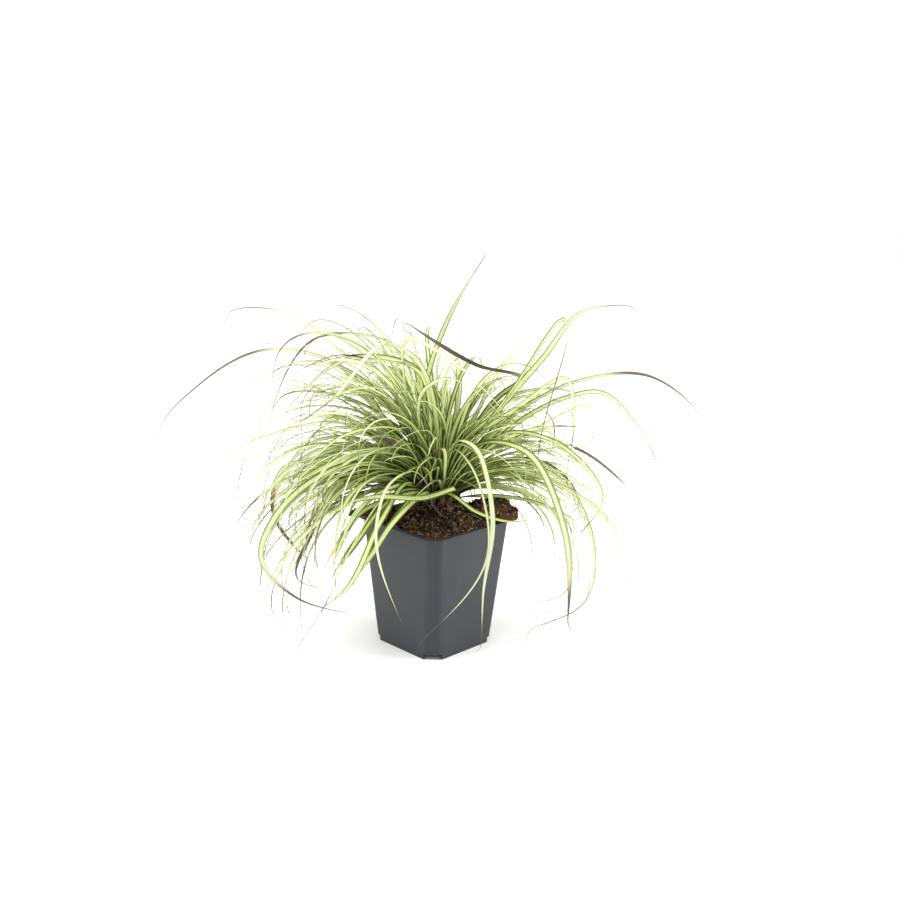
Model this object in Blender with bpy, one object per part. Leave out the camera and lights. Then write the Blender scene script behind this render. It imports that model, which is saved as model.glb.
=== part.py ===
"""Variegated carex sedge, a tuft of arching striped leaves in a square nursery pot."""

import math
import random
from itertools import product

import bmesh
import bpy
from mathutils import Vector
from mathutils.bvhtree import BVHTree
from mathutils.geometry import interpolate_bezier

MM = 0.001
CM = 0.01

# Pot
POT_HEIGHT = 100 * MM
LIP_HALF = 44.75 * MM
LIP_THICK = 1.6 * MM
WALL_TOP_HALF = 42.4 * MM
WALL_FOOT_HALF = 34.5 * MM
CORNER_CUT_TOP = 6.6 * MM
CORNER_CUT_FOOT = 8.0 * MM
WALL = 1.2 * MM
EDGE_EASE = 0.8 * MM
FLOOR_UNDER = 4.6 * MM
FLOOR_TOP = 5.9 * MM
NOTCH_HEIGHT = 4.2 * MM
NOTCH_PAST_CORNER = 2.0 * MM
BOSS_RADIUS = 9.0 * MM
RIB_WIDTH = 1.6 * MM
RIB_CLEAR = 1.0 * MM
DRAINS = ((23.0 * MM, 3.5 * MM), (12.5 * MM, 2.4 * MM))

# Soil
GAP = 0.3 * MM
FILL_BELOW_RIM = 2.2 * MM
MOUND = 18.5 * MM
SOIL_TURNS = 40
SOIL_SHARES = (1.0, 0.95, 0.87, 0.76, 0.62, 0.44)
CORNER = math.radians(45)
CORNER_CROWDING = 0.32
# Two crusty lumps over the rim: bearing, half spread, overhang and height
LUMPS = (
    (math.radians(45), math.radians(27), 9.5 * MM, 17.0 * MM),
    (math.radians(225), math.radians(22), 14.0 * MM, 8.0 * MM),
)

# Shoots
CROWN = (0.0, 3.0 * MM)
RINGS = ((1, 0.0, 0), (6, 5.8 * MM, 20), (11, 11.0 * MM, 50))
STEM_RADIUS = 2.05 * MM
STEM_SIDES = 6
STEM_SUNK = 8.0 * MM
STEM_TALL = 7.0 * MM
STEM_HOLE_SPARE = 0.4 * MM
STEM_NECKS = (0.94, 0.90, 0.97, 0.87)
ROOT_LOOSE = 0.55 * MM
ROOT_RUN = 12.0 * MM
BLADES_PER_SHOOT = 11
DRY_STEMS = ((205, 17.0 * MM), (80, 17.0 * MM))
FRONT = math.radians(-45)

# Leaf blades
FINE_STEPS = 48
KEEL_DEPTH = 0.85 * MM
KEEL_DEPTH_TIP = 0.62 * MM
NARROWEST = 1.0 * MM
SHORTEST_EDGE = 0.002 * MM
# Shares of a shoot's blade width, tried in turn until its blades fuse well
FUSE_WIDTHS = (1.0, 0.98, 1.02, 0.96, 0.99, 0.97)
CLEARANCE = 0.36 * MM
LOWEST = 6.0 * MM
TRIES = 240
SEED = 41
# How far rule-grown blades may reach: to the left, to the right, and up
GROWN_LEFT = 150 * MM
GROWN_RIGHT = 128 * MM
GROWN_TOP = 245 * MM

# Leading blades, as seen from the pot's cut corner that points to -Y and +X:
# width in millimetres, then points (right, towards, up) in centimetres
LEADING_BLADES = (
    # left side, the long outer arches
    (3.6, (-9.5, -7, 21), (-15, -9, 21), (-20, -9, 18), (-23, -8, 14.5), (-22.5, -7, 10.5)),
    (2.2, (-9, -3, 21), (-13, -3, 20.5), (-17.5, -3, 17.5), (-21.5, -3, 11.5)),
    (2.6, (-8, -9, 21), (-13.5, -12, 24), (-18, -12, 23.5), (-18.5, -12, 21)),
    (1.8, (-5.5, -8, 22), (-11.5, -10, 24), (-16.5, -11, 23)),
    (2.0, (-4.5, -4, 23), (-9.5, -4, 23), (-13, -4, 17.5), (-13.5, -4, 15.5)),
    (2.6, (-1.5, 2, 22), (-4.5, 3, 23), (-9.5, 3, 22)),
    (4.6, (-2, 5, 23.5), (-3.5, 7, 24.5), (-7, 10, 21), (-9, 10, 19.5)),
    # left side, the low ones that hook under
    (3.4, (-7, 0, 17), (-12.5, 0, 16.5), (-17.5, 0, 13), (-17, 0, 10), (-15, 0, 8)),
    (5.2, (-6.5, 4, 15), (-11.5, 6, 11.5), (-12.5, 6, 8.5), (-10, 6, 5.5), (-7, 6, 4.5)),
    (4.0, (-8.5, 1, 15.5), (-12, 2, 13), (-13.5, 2, 10), (-11, 2, 6.5)),
    (2.2, (-8, -5, 19), (-12, -5, 18.5), (-15.5, -5, 13), (-16, -5, 4.5)),
    (2.8, (-8.5, -2, 13.5), (-12, -3, 12), (-13, -3, 9.5), (-10.5, -3, 5.5)),
    (3.2, (-6.5, 4, 14), (-9, 5, 13), (-11.5, 5, 10.5)),
    (3.8, (-7.5, 3, 13.2), (-9, 4, 10), (-10, 4, 6), (-8.5, 4, 5.5)),
    # front left, over the rim
    (5.4, (-2.5, 3.5, 13), (-4, 5, 12), (-5.5, 6, 10), (-7, 7, 8)),
    (4.8, (-2, 3, 13.2), (-4, 6, 11.3), (-6.5, 8, 7), (-7.5, 8, 6)),
    (4.0, (-1.5, 3.5, 12.6), (-4, 6.6, 10), (-5.5, 7, 7.5)),
    (2.2, (-1.5, 3.5, 14.5), (-3.5, 7, 14), (-4, 8.5, 12), (-2.5, 8.5, 5.5)),
    (4.4, (1.3, 4, 13.4), (-0.6, 5, 13), (-4.6, 5, 12.9), (-7.4, 4, 11.6), (-8.6, 3.5, 10.2)),
    (3.8, (1.4, 4.2, 12.9), (2.9, 5.2, 12.1), (5.6, 5, 11.3), (7.4, 4.4, 11.4)),
    # front, hanging before the pot
    (4.4, (1.5, 4, 17), (3, 7.5, 17), (4, 9, 13), (3.5, 9, 7), (3.5, 9, 4)),
    (1.8, (1.5, 3.5, 16), (3.2, 7, 15), (3.5, 8.4, 10), (0, 9, 4)),
    # right side
    (6.2, (3, 3, 16.5), (6.5, 6.5, 16.8), (9, 8.5, 12), (9.5, 9, 5.5)),
    (4.2, (5, 1, 14.2), (8, 1, 13.5), (13.5, 3, 10), (14.5, 3, 5.5)),
    (3.2, (5.5, -1, 14), (9, 0, 13.5), (12, 2, 8.5), (11.5, 2, 4), (8, 2, 2)),
    (2.0, (4.5, 2, 14.5), (9, 4, 11), (9.7, 4, 5.5), (6.5, 4, 4.5)),
    (3.6, (5.5, 3, 17.5), (9, 5, 17), (12, 5, 13), (10, 5, 10)),
    (3.2, (3.5, -1, 15), (7, -2, 16), (11, -2, 15), (15, -2, 12)),
    (3.4, (6, -1, 20.5), (9.2, -1.5, 25.2), (9.4, 0, 25), (7.5, 4, 17.5), (6.7, 6, 11)),
    (5.0, (5, -2, 18.5), (8, -3, 22), (11, -4, 25.5), (13.5, -4, 26)),
    (3.4, (6.5, -3, 18), (10.5, -4, 20), (16.5, -4, 20.5), (20.5, -4, 18), (21.5, -4, 16.5)),
    (3.8, (6, 0, 17.5), (9.5, 0, 19.5), (12, 0, 20), (15, 0, 17.5), (17, 0, 14)),
    (4.0, (6.5, -1, 20), (9, 0, 21), (10.5, 0, 18), (10.5, 0, 14)),
    (2.0, (7.5, 1, 17.5), (11.5, 1, 19), (11.5, 1, 16.5), (10, 1, 14)),
    # upright centre
    (4.2, (-1, -1, 19.5), (0.5, -3, 24.5), (3, -4, 29)),
    (4.8, (5, -3, 18.5), (6.5, -3, 20.5), (3, -1, 21.2), (-2.5, 0, 25)),
    (3.6, (-2.5, 2, 21.5), (-2.3, 4.5, 24.3), (1, 8, 23.5), (5, 10, 20)),
    (3.2, (-1, 4, 21), (1, 6.5, 21.8), (5.5, 9, 19.5)),
    (6.6, (-4.5, 3, 15.5), (-7, 4, 15), (-11, 4, 12.5)),
    (4.4, (-3, 3, 17.5), (-6.5, 5, 17.5), (-9.5, 6, 15)),
    (4.8, (-2, 2, 19.5), (-5.5, 4, 20.5), (-9.5, 5, 19)),
    (4.6, (-2, -1, 21.5), (-6.5, -1, 22), (-11, -1, 18.5)),
)

# Colours and surfaces: base colour, roughness
SLATE = ((0.095, 0.099, 0.112), 0.42)
PEAT = ((0.055, 0.032, 0.020), 0.95)
LEAF = ((0.47, 0.52, 0.16), 0.45)
STRAW = ((0.28, 0.16, 0.09), 0.70)


def clamp(value, low=0.0, high=1.0):
    return max(low, min(high, value))


def ease(value, start, end):
    """Zero before start, one after end, with a soft change between them."""
    t = clamp((value - start) / (end - start))
    return t * t * (3.0 - 2.0 * t)


def mix(a, b, t):
    return a + (b - a) * t


def from_view(right, towards, up):
    """A point given from the front corner's side, in centimetres."""
    half_root = math.sqrt(0.5)
    x = (right + towards) * half_root
    y = (right - towards) * half_root
    return Vector((x, y, up)) * CM


# Objects, materials and fusing


def clear_scene():
    for old in list(bpy.data.objects):
        bpy.data.objects.remove(old, do_unlink=True)


def surface(name, look):
    colour, roughness = look
    material = bpy.data.materials.new(name)
    material.use_nodes = True
    shader = material.node_tree.nodes["Principled BSDF"]
    shader.inputs["Base Color"].default_value = (*colour, 1.0)
    shader.inputs["Roughness"].default_value = roughness
    shader.inputs["Metallic"].default_value = 0.0
    return material


def add_object(name, points, faces, look, collection=None):
    mesh = bpy.data.meshes.new(name)
    mesh.from_pydata([tuple(p) for p in points], [], faces)
    mesh.validate()
    face_up(mesh)
    obj = bpy.data.objects.new(name, mesh)
    if look:
        mesh.materials.append(surface(name, look))
    (collection or bpy.context.scene.collection).objects.link(obj)
    return obj


def face_up(mesh):
    """Turn every face outward."""
    form = bmesh.new()
    form.from_mesh(mesh)
    bmesh.ops.recalc_face_normals(form, faces=form.faces)
    form.to_mesh(mesh)
    form.free()


def combine(body, pieces, operation, solver="EXACT"):
    """Join or cut one body with many pieces, then drop the pieces."""
    group = bpy.data.collections.new(body.name + "_pieces")
    bpy.context.scene.collection.children.link(group)
    for piece in pieces:
        for home in list(piece.users_collection):
            home.objects.unlink(piece)
        group.objects.link(piece)
        piece.hide_render = True
        piece.display_type = "WIRE"
    cut = body.modifiers.new(operation.lower(), "BOOLEAN")
    cut.operand_type = "COLLECTION"
    cut.collection = group
    cut.operation = operation
    cut.solver = solver
    bpy.context.view_layer.update()
    graph = bpy.context.evaluated_depsgraph_get()
    result = bpy.data.meshes.new_from_object(body.evaluated_get(graph))
    body.modifiers.clear()
    old = body.data
    body.data = result
    result.name = old.name
    bpy.data.meshes.remove(old)
    for piece in pieces:
        bpy.data.objects.remove(piece, do_unlink=True)
    bpy.data.collections.remove(group)


def shells_of(form):
    """Groups of faces that hang together by their edges."""
    left = set(form.faces)
    shells = []
    while left:
        shell = [left.pop()]
        for face in shell:
            for edge in face.edges:
                for near in edge.link_faces:
                    if near in left:
                        left.discard(near)
                        shell.append(near)
        shells.append(shell)
    return shells


def keep_main_shell(body):
    """Drop loose scraps, the walls of sealed hollows and vanishingly short edges."""
    form = bmesh.new()
    form.from_mesh(body.data)
    bmesh.ops.triangulate(form, faces=form.faces)
    bmesh.ops.dissolve_degenerate(form, dist=SHORTEST_EDGE, edges=form.edges)
    bmesh.ops.triangulate(form, faces=form.faces)
    shells = sorted(shells_of(form), key=len, reverse=True)
    scraps = [face for shell in shells[1:] for face in shell]
    bmesh.ops.delete(form, geom=scraps, context="FACES")
    loose = [vert for vert in form.verts if not vert.link_faces]
    bmesh.ops.delete(form, geom=loose, context="VERTS")
    form.to_mesh(body.data)
    form.free()


def is_sound(body):
    """True when every edge joins two faces and no edge is vanishingly short."""
    form = bmesh.new()
    form.from_mesh(body.data)
    sound = all(len(edge.link_faces) == 2 for edge in form.edges)
    sound = sound and all(vert.is_manifold for vert in form.verts)
    sound = sound and min(edge.calc_length() for edge in form.edges) > SHORTEST_EDGE
    form.free()
    return sound


def soften(body, degrees):
    body.data.shade_smooth()
    body.data.set_sharp_from_angle(angle=math.radians(degrees))


# Pot


def pot_half(z):
    """Half width of the wall's outer side at a height."""
    return mix(WALL_FOOT_HALF, WALL_TOP_HALF, z / POT_HEIGHT)


def pot_cut(z):
    """How far the corner is cut back along each side at a height."""
    return mix(CORNER_CUT_FOOT, CORNER_CUT_TOP, z / POT_HEIGHT)


def cut_square(half, cut, z):
    """Square ring with cut corners, each of its eight edges eased by two points."""
    near = half - cut
    corners = []
    for turn in range(4):
        angle = turn * math.pi / 2
        for x, y in ((half, near), (near, half)):
            corners.append(Vector((
                x * math.cos(angle) - y * math.sin(angle),
                x * math.sin(angle) + y * math.cos(angle),
                z,
            )))
    ring = []
    for i, corner in enumerate(corners):
        for other in (corners[i - 1], corners[(i + 1) % 8]):
            ring.append(corner + (other - corner).normalized() * EDGE_EASE)
    return ring


def ring_skin(rings):
    """Points and side faces of a run of equal rings."""
    points = [point for ring in rings for point in ring]
    count = len(rings[0])
    faces = []
    for level in range(len(rings) - 1):
        low = level * count
        for i in range(count):
            j = (i + 1) % count
            faces.append((low + i, low + j, low + count + j, low + count + i))
    return points, faces


def rings_to_solid(name, rings, look):
    """Skin a run of equal rings and close both of its ends."""
    points, faces = ring_skin(rings)
    count = len(rings[0])
    faces.append(tuple(reversed(range(count))))
    faces.append(tuple(range(len(points) - count, len(points))))
    return add_object(name, points, faces, look)


def box(name, low, high):
    points = [(x, y, z) for x in (low[0], high[0]) for y in (low[1], high[1])
              for z in (low[2], high[2])]
    faces = [(0, 1, 3, 2), (4, 6, 7, 5), (0, 4, 5, 1), (2, 3, 7, 6), (0, 2, 6, 4), (1, 5, 7, 3)]
    return add_object(name, points, faces, None)


def round_post(name, x, y, radius, low, high, sides):
    rings = []
    for z in (low, high):
        rings.append([
            Vector((x + radius * math.cos(2 * math.pi * i / sides),
                    y + radius * math.sin(2 * math.pi * i / sides), z))
            for i in range(sides)
        ])
    return rings_to_solid(name, rings, None)


def pot_rings():
    """Rings of the pot's wall: up inside its foot, up outside, and down inside."""
    top = POT_HEIGHT
    lip_low = top - LIP_THICK
    inner = [
        cut_square(pot_half(FLOOR_UNDER) - WALL, pot_cut(FLOOR_UNDER) - WALL * 0.6, FLOOR_UNDER),
        cut_square(pot_half(0) - WALL, pot_cut(0) - WALL * 0.6, 0),
    ]
    outer = [
        cut_square(pot_half(0), pot_cut(0), 0),
        cut_square(pot_half(top * 0.5), pot_cut(top * 0.5), top * 0.5),
        cut_square(pot_half(lip_low - 1.2 * MM), pot_cut(lip_low), lip_low - 1.2 * MM),
        cut_square(LIP_HALF - 0.5 * MM, CORNER_CUT_TOP, lip_low),
        cut_square(LIP_HALF, CORNER_CUT_TOP, lip_low + 0.5 * MM),
        cut_square(LIP_HALF, CORNER_CUT_TOP, top - 0.4 * MM),
        cut_square(LIP_HALF - 0.5 * MM, CORNER_CUT_TOP, top),
    ]
    inside = [
        cut_square(pot_half(top) - WALL + 0.3 * MM, CORNER_CUT_TOP - WALL * 0.6, top),
        cut_square(pot_half(top) - WALL, CORNER_CUT_TOP - WALL * 0.6, top - 0.6 * MM),
        cut_square(pot_half(FLOOR_TOP) - WALL, pot_cut(FLOOR_TOP) - WALL * 0.6, FLOOR_TOP),
    ]
    return inner + outer + inside


def make_pot():
    pot = rings_to_solid("pot", pot_rings(), SLATE)

    # Boss and ribs under the floor
    sunk = FLOOR_UNDER + 0.5 * MM
    supports = [round_post("boss", 0, 0, BOSS_RADIUS, 0, sunk, 16)]
    reach = pot_half(0) - WALL * 0.5
    for along_x in (True, False):
        for side in (-1, 1):
            span = sorted((side * BOSS_RADIUS * 0.8, side * reach))
            across = (-RIB_WIDTH / 2, RIB_WIDTH / 2)
            low = (span[0], across[0], RIB_CLEAR) if along_x else (across[0], span[0], RIB_CLEAR)
            high = (span[1], across[1], sunk) if along_x else (across[1], span[1], sunk)
            supports.append(box("rib", low, high))
    combine(pot, supports, "UNION")

    # Drain holes on the diagonals, and the notch under each cut corner
    cutters = []
    for sx in (-1, 1):
        for sy in (-1, 1):
            for place, radius in DRAINS:
                cutters.append(round_post("drain", sx * place, sy * place, radius,
                                          FLOOR_UNDER - 2 * MM, FLOOR_TOP + 2 * MM, 10))
            near = WALL_FOOT_HALF - CORNER_CUT_FOOT - NOTCH_PAST_CORNER
            far = WALL_FOOT_HALF + 10 * MM
            xs = sorted((sx * near, sx * far))
            ys = sorted((sy * near, sy * far))
            cutters.append(box("notch", (xs[0], ys[0], -5 * MM), (xs[1], ys[1], NOTCH_HEIGHT)))
    combine(pot, cutters, "DIFFERENCE")
    soften(pot, 30)
    return pot


# Soil


def inner_radius(bearing, z, spare):
    """Distance from the middle to the pot's inner side, less a spare gap."""
    half = pot_half(z) - WALL - spare
    cut = pot_cut(z) - WALL * 0.6 + spare * 0.4
    x = abs(math.cos(bearing))
    y = abs(math.sin(bearing))
    flat = half / max(x, y)
    corner = (2 * half - cut) / (x + y)
    return min(flat, corner)


def lump_at(bearing):
    """Share of a lump at a bearing, of its overhang and of its lift off the rim."""
    found = (0.0, 0.0, 0.0, 0.0)
    for middle, spread, overhang, height in LUMPS:
        away = abs(math.remainder(bearing - middle, 2 * math.pi)) / spread
        lift = 1.0 - ease(away, 1.05, 1.5)
        if lift > found[0]:
            over = overhang * (1.0 - ease(away, 0.25, 0.78))
            found = (lift, over, height * (1.0 - ease(away, 0.40, 1.0)), over / overhang)
    return found


def soil_roughness(x, y):
    """Low irregular waves over the soil, about a millimetre either way."""
    a = math.sin(x * 310 + 1.3) * math.cos(y * 270 - 0.4)
    b = math.sin((x + y) * 520 + 2.1) * math.sin((x - y) * 430 + 0.7)
    c = math.sin(x * 905 - y * 640)
    return (0.7 * a + 0.5 * b + 0.25 * c) * MM


def soil_height(x, y):
    """Height of the soil's surface inside the rim, away from the lumps."""
    out = clamp(math.hypot(x - CROWN[0], y - CROWN[1]) / (42 * MM))
    rise = MOUND * (1.0 - ease(out, 0.05, 1.0))
    return POT_HEIGHT - FILL_BELOW_RIM + rise + soil_roughness(x, y)


def soil_column(bearing):
    """Distance and height of each soil row at one bearing, from the floor up."""
    lift, over, height, spread = lump_at(bearing)
    over *= 1.0 + 0.16 * math.sin(bearing * 11 + 0.8) + 0.10 * math.sin(bearing * 23)
    edge = inner_radius(bearing, POT_HEIGHT, GAP + 0.3 * MM)
    floor_z = FLOOR_TOP + GAP
    neck_z = mix(POT_HEIGHT - FILL_BELOW_RIM - 1.5 * MM, POT_HEIGHT + GAP, lift)
    neck_r = inner_radius(bearing, min(neck_z, POT_HEIGHT), GAP + 0.3 * MM)
    rows = [
        (inner_radius(bearing, floor_z, GAP), floor_z),
        (inner_radius(bearing, POT_HEIGHT * 0.55, GAP), POT_HEIGHT * 0.55),
        (neck_r, neck_z),
        (edge + over, neck_z + 0.5 * MM + 0.5 * MM * spread),
    ]
    for t in SOIL_SHARES:
        reach = edge * t + over * t ** 3
        x = reach * math.cos(bearing)
        y = reach * math.sin(bearing)
        z = soil_height(x, y)
        bank = height * (ease(t, 0.42, 0.80) - 0.45 * ease(t, 0.86, 1.0))
        bank *= 1.0 + 0.14 * math.sin(bearing * 17 + t * 9)
        z += max(0.0, bank)
        if reach > edge - 1.0 * MM:
            z = max(z, neck_z + 1.6 * MM)
        if t == 1.0:
            reach -= 0.8 * MM
        rows.append((reach, z))
    return rows


def soil_rings():
    bearings = []
    for i in range(SOIL_TURNS):
        turn = 2 * math.pi * i / SOIL_TURNS
        bearings.append(turn - CORNER_CROWDING * math.sin(2 * (turn - CORNER)))
    columns = [soil_column(bearing) for bearing in bearings]
    rings = []
    for level in range(len(columns[0])):
        ring = []
        for bearing, column in zip(bearings, columns):
            reach, z = column[level]
            ring.append(Vector((reach * math.cos(bearing), reach * math.sin(bearing), z)))
        rings.append(ring)
    return rings


def soil_middle():
    """The soil's top point, under the crown."""
    return Vector((CROWN[0], CROWN[1], soil_height(*CROWN)))


def make_soil(stems):
    for solver in ("EXACT", "MANIFOLD"):
        soil = rings_to_solid("soil", soil_rings(), PEAT)
        crown_cap(soil)
        holes = [
            round_post("stem_hole", x, y, STEM_RADIUS + STEM_HOLE_SPARE,
                       foot - GAP, foot + 40 * MM, STEM_SIDES)
            for x, y, foot, _ in stems
        ]
        combine(soil, holes, "DIFFERENCE", solver)
        keep_main_shell(soil)
        if is_sound(soil):
            return
        print("soil is not sound with", solver)
        if solver == "EXACT":
            bpy.data.objects.remove(soil, do_unlink=True)


def crown_cap(soil):
    """Replace the flat closing face on top by a fan to a middle point."""
    form = bmesh.new()
    form.from_mesh(soil.data)
    form.faces.ensure_lookup_table()
    top = max(form.faces, key=lambda face: face.calc_center_median().z if len(face.verts) > 4 else -1)
    bmesh.ops.poke(form, faces=[top])["verts"][0].co = soil_middle()
    form.to_mesh(soil.data)
    form.free()


# Leaf blades


def evenly(points, count):
    """The same run of points, spaced evenly along its length."""
    reached = [0.0]
    for a, b in zip(points, points[1:]):
        reached.append(reached[-1] + (b - a).length)
    total = reached[-1]
    result = []
    i = 0
    for k in range(count + 1):
        want = total * k / count
        while i < len(points) - 2 and reached[i + 1] < want:
            i += 1
        span = max(reached[i + 1] - reached[i], 1e-9)
        result.append(points[i].lerp(points[i + 1], clamp((want - reached[i]) / span)))
    return result


def drawn_line(root, leave, points):
    """A smooth centre line from a shoot through a leading blade's points."""
    knots = [root] + points
    gaps = [(b - a).length for a, b in zip(knots, knots[1:])]
    ways = [leave.normalized()]
    for i in range(1, len(knots) - 1):
        before = (knots[i] - knots[i - 1]) / gaps[i - 1]
        after = (knots[i + 1] - knots[i]) / gaps[i]
        ways.append((before * gaps[i] + after * gaps[i - 1]) / (gaps[i - 1] + gaps[i]))
    ways.append((knots[-1] - knots[-2]) / gaps[-1] * 1.5 - ways[-1] * 0.5)
    line = [root]
    for i, gap in enumerate(gaps):
        handles = (knots[i] + ways[i] * gap / 3, knots[i + 1] - ways[i + 1] * gap / 3)
        line.extend(interpolate_bezier(knots[i], *handles, knots[i + 1], 14)[1:])
    return evenly(line, FINE_STEPS)


def grown_line(root, bearing, rise, fall, length, sweep, stiff, curl):
    """A centre line that leaves at one slope and bends over to another."""
    step = length / FINE_STEPS
    line = [root]
    for i in range(FINE_STEPS):
        s = (i + 0.5) / FINE_STEPS
        slope = mix(rise, fall, s ** stiff) - curl * ease(s, 0.80, 1.0)
        way = bearing + sweep * s * s
        level = math.cos(slope)
        ahead = Vector((level * math.cos(way), level * math.sin(way), math.sin(slope)))
        line.append(line[-1] + ahead * step)
    return line


def across_line(line, roll, twist):
    """Unit vectors along, across and out of the upper face, at each fine point.

    A positive roll turns the upper face towards the pot's front corner.
    """
    outward = line[len(line) // 2] - line[0]
    side = Vector((-outward.y, outward.x, 0.0)).normalized()
    roll *= -(side.x * math.cos(FRONT) + side.y * math.sin(FRONT))
    frames = []
    last = len(line) - 1
    for i in range(len(line)):
        ahead = (line[min(i + 1, last)] - line[max(i - 1, 0)]).normalized()
        side = (side - ahead * side.dot(ahead)).normalized()
        angle = roll * ease(i / last, 0.0, 0.25) + twist * i / last
        up = ahead.cross(side)
        turned = side * math.cos(angle) + up * math.sin(angle)
        frames.append((ahead, turned, ahead.cross(turned)))
    return frames


def width_share(s):
    """Share of the full width at a share of the length."""
    swell = mix(0.50, 1.0, ease(s, 0.0, 0.26))
    taper = mix(1.0, 0.14, ease(s, 0.42, 1.06) ** 1.1)
    return swell * taper


class Blade:
    """One leaf blade: its centre line, how it lies, and its width."""

    def __init__(self, line, width, roll, twist):
        self.line = line
        self.width = width
        self.frames = across_line(line, roll, twist)
        self.length = (line[1] - line[0]).length * FINE_STEPS
        self.rows = self.stations(round(mix(4.6, 7.4, ease(self.length, 10 * CM, 24 * CM))))

    def section(self, i):
        """Centre, side and upper directions, width and depth at a fine point."""
        s = i / FINE_STEPS
        width = max(NARROWEST, self.width * width_share(s))
        depth = mix(KEEL_DEPTH, KEEL_DEPTH_TIP, ease(s, 0.3, 1.0))
        depth = max(KEEL_DEPTH_TIP, min(depth, width * 0.62))
        _, side, up = self.frames[i]
        return self.line[i], side, up, width, depth

    def stations(self, count):
        """Fine points to keep: one past the root, then closer where the line bends."""
        past_root = max(1, round(ROOT_RUN / self.length * FINE_STEPS))
        reached = [0.0]
        for i in range(1, FINE_STEPS + 1):
            bend = self.frames[i][0].angle(self.frames[i - 1][0])
            reached.append(reached[-1] + 1.0 / FINE_STEPS + bend * 0.9)
        begin = reached[past_root]
        chosen = [0, past_root]
        for k in range(1, count):
            want = mix(begin, reached[-1], k / count)
            i = min(range(FINE_STEPS), key=lambda j: abs(reached[j] - want))
            if i > chosen[-1]:
                chosen.append(i)
        chosen.append(FINE_STEPS)
        return chosen

    def skin(self, share):
        """Points and faces of the three-sided solid blade, at a share of its width."""
        points = []
        for i in self.rows:
            centre, side, up, width, depth = self.section(i)
            points.append(centre - side * (width * share / 2))
            points.append(centre + side * (width * share / 2))
            points.append(centre - up * depth)
        faces = [(0, 1, 2)]
        rows = len(points) // 3
        for row in range(rows - 1):
            low = row * 3
            for a, b in ((0, 1), (1, 2), (2, 0)):
                faces.append((low + a, low + b, low + 3 + b))
                faces.append((low + a, low + 3 + b, low + 3 + a))
        faces.append((rows * 3 - 1, rows * 3 - 2, rows * 3 - 3))
        return points, faces

    def envelope(self, spare, first):
        """A loose square sleeve round the blade, used to keep blades apart."""
        points = []
        rows = self.rows[first:]
        for i in rows:
            centre, side, up, width, depth = self.section(i)
            for across, rise in ((-1, spare), (1, spare), (1, -depth - spare), (-1, -depth - spare)):
                points.append(centre + side * (across * (width / 2 + spare)) + up * rise)
        faces = []
        for row in range(len(rows) - 1):
            low = row * 4
            for a in range(4):
                b = (a + 1) % 4
                faces.append((low + a, low + b, low + 4 + b, low + 4 + a))
        return BVHTree.FromPolygons(points, faces)


class Tuft:
    """All the blades, with the sleeves that keep one shoot clear of another."""

    def __init__(self, stems, walls):
        self.stems = stems
        self.blades = [[] for _ in stems]
        self.sleeves = []
        self.walls = walls
        self.stem_posts = []
        for x, y, foot, _ in stems:
            self.stem_posts.append(stem_sleeve(x, y, foot))

    def root(self, shoot, level, draw):
        """Start of a blade near the stem's axis, level from 0 low to 1 high."""
        x, y, foot, _ = self.stems[shoot]
        x += draw.uniform(-ROOT_LOOSE, ROOT_LOOSE)
        y += draw.uniform(-ROOT_LOOSE, ROOT_LOOSE)
        return Vector((x, y, foot + STEM_SUNK + mix(1.5, STEM_TALL / MM - 2.0, level) * MM))

    def is_clear(self, blade, shoot):
        if min(point.z for point in blade.line) < LOWEST:
            return False
        whole = blade.envelope(CLEARANCE, 0)
        if any(whole.overlap(wall) for wall in self.walls):
            return False
        for other, post in enumerate(self.stem_posts):
            if other != shoot and whole.overlap(post):
                return False
        outer = blade.envelope(CLEARANCE * 0.5, 1)
        for other, sleeve, outer_sleeve in self.sleeves:
            if other == shoot:
                if outer.overlap(outer_sleeve):
                    return False
            elif whole.overlap(sleeve):
                return False
        return True

    def add(self, shoot, blade):
        self.blades[shoot].append(blade)
        self.sleeves.append((shoot, blade.envelope(0.02 * MM, 0), blade.envelope(0.02 * MM, 1)))


def stem_sleeve(x, y, foot):
    """Upright sleeve round a stem, as high as the stem stands."""
    points = []
    for z in (foot, foot + STEM_SUNK + STEM_TALL):
        for i in range(STEM_SIDES):
            angle = 2 * math.pi * i / STEM_SIDES
            points.append((x + STEM_RADIUS * math.cos(angle), y + STEM_RADIUS * math.sin(angle), z))
    faces = []
    for i in range(STEM_SIDES):
        j = (i + 1) % STEM_SIDES
        faces.append((i, j, STEM_SIDES + j, STEM_SIDES + i))
    faces.append(tuple(range(STEM_SIDES, 2 * STEM_SIDES)))
    return BVHTree.FromPolygons(points, faces)


def stem_places():
    """Axis, foot height and own lean of each stem, from the middle outward."""
    places = []
    for ring, (count, reach, lean) in enumerate(RINGS):
        for i in range(count):
            angle = 2 * math.pi * (i + 0.5 * ring) / count
            x = CROWN[0] + reach * math.cos(angle)
            y = CROWN[1] + reach * math.sin(angle)
            home = Vector((math.cos(angle) * math.sin(math.radians(lean)),
                           math.sin(angle) * math.sin(math.radians(lean)),
                           math.cos(math.radians(lean))))
            places.append((x, y, soil_height(x, y) - STEM_SUNK, home))
    return places


def dry_places():
    places = []
    for degrees, reach in DRY_STEMS:
        angle = math.radians(degrees)
        x = CROWN[0] + reach * math.cos(angle)
        y = CROWN[1] + reach * math.sin(angle)
        home = Vector((math.cos(angle), math.sin(angle), 0.8)).normalized()
        places.append((x, y, soil_height(x, y) - STEM_SUNK, home))
    return places


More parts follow.
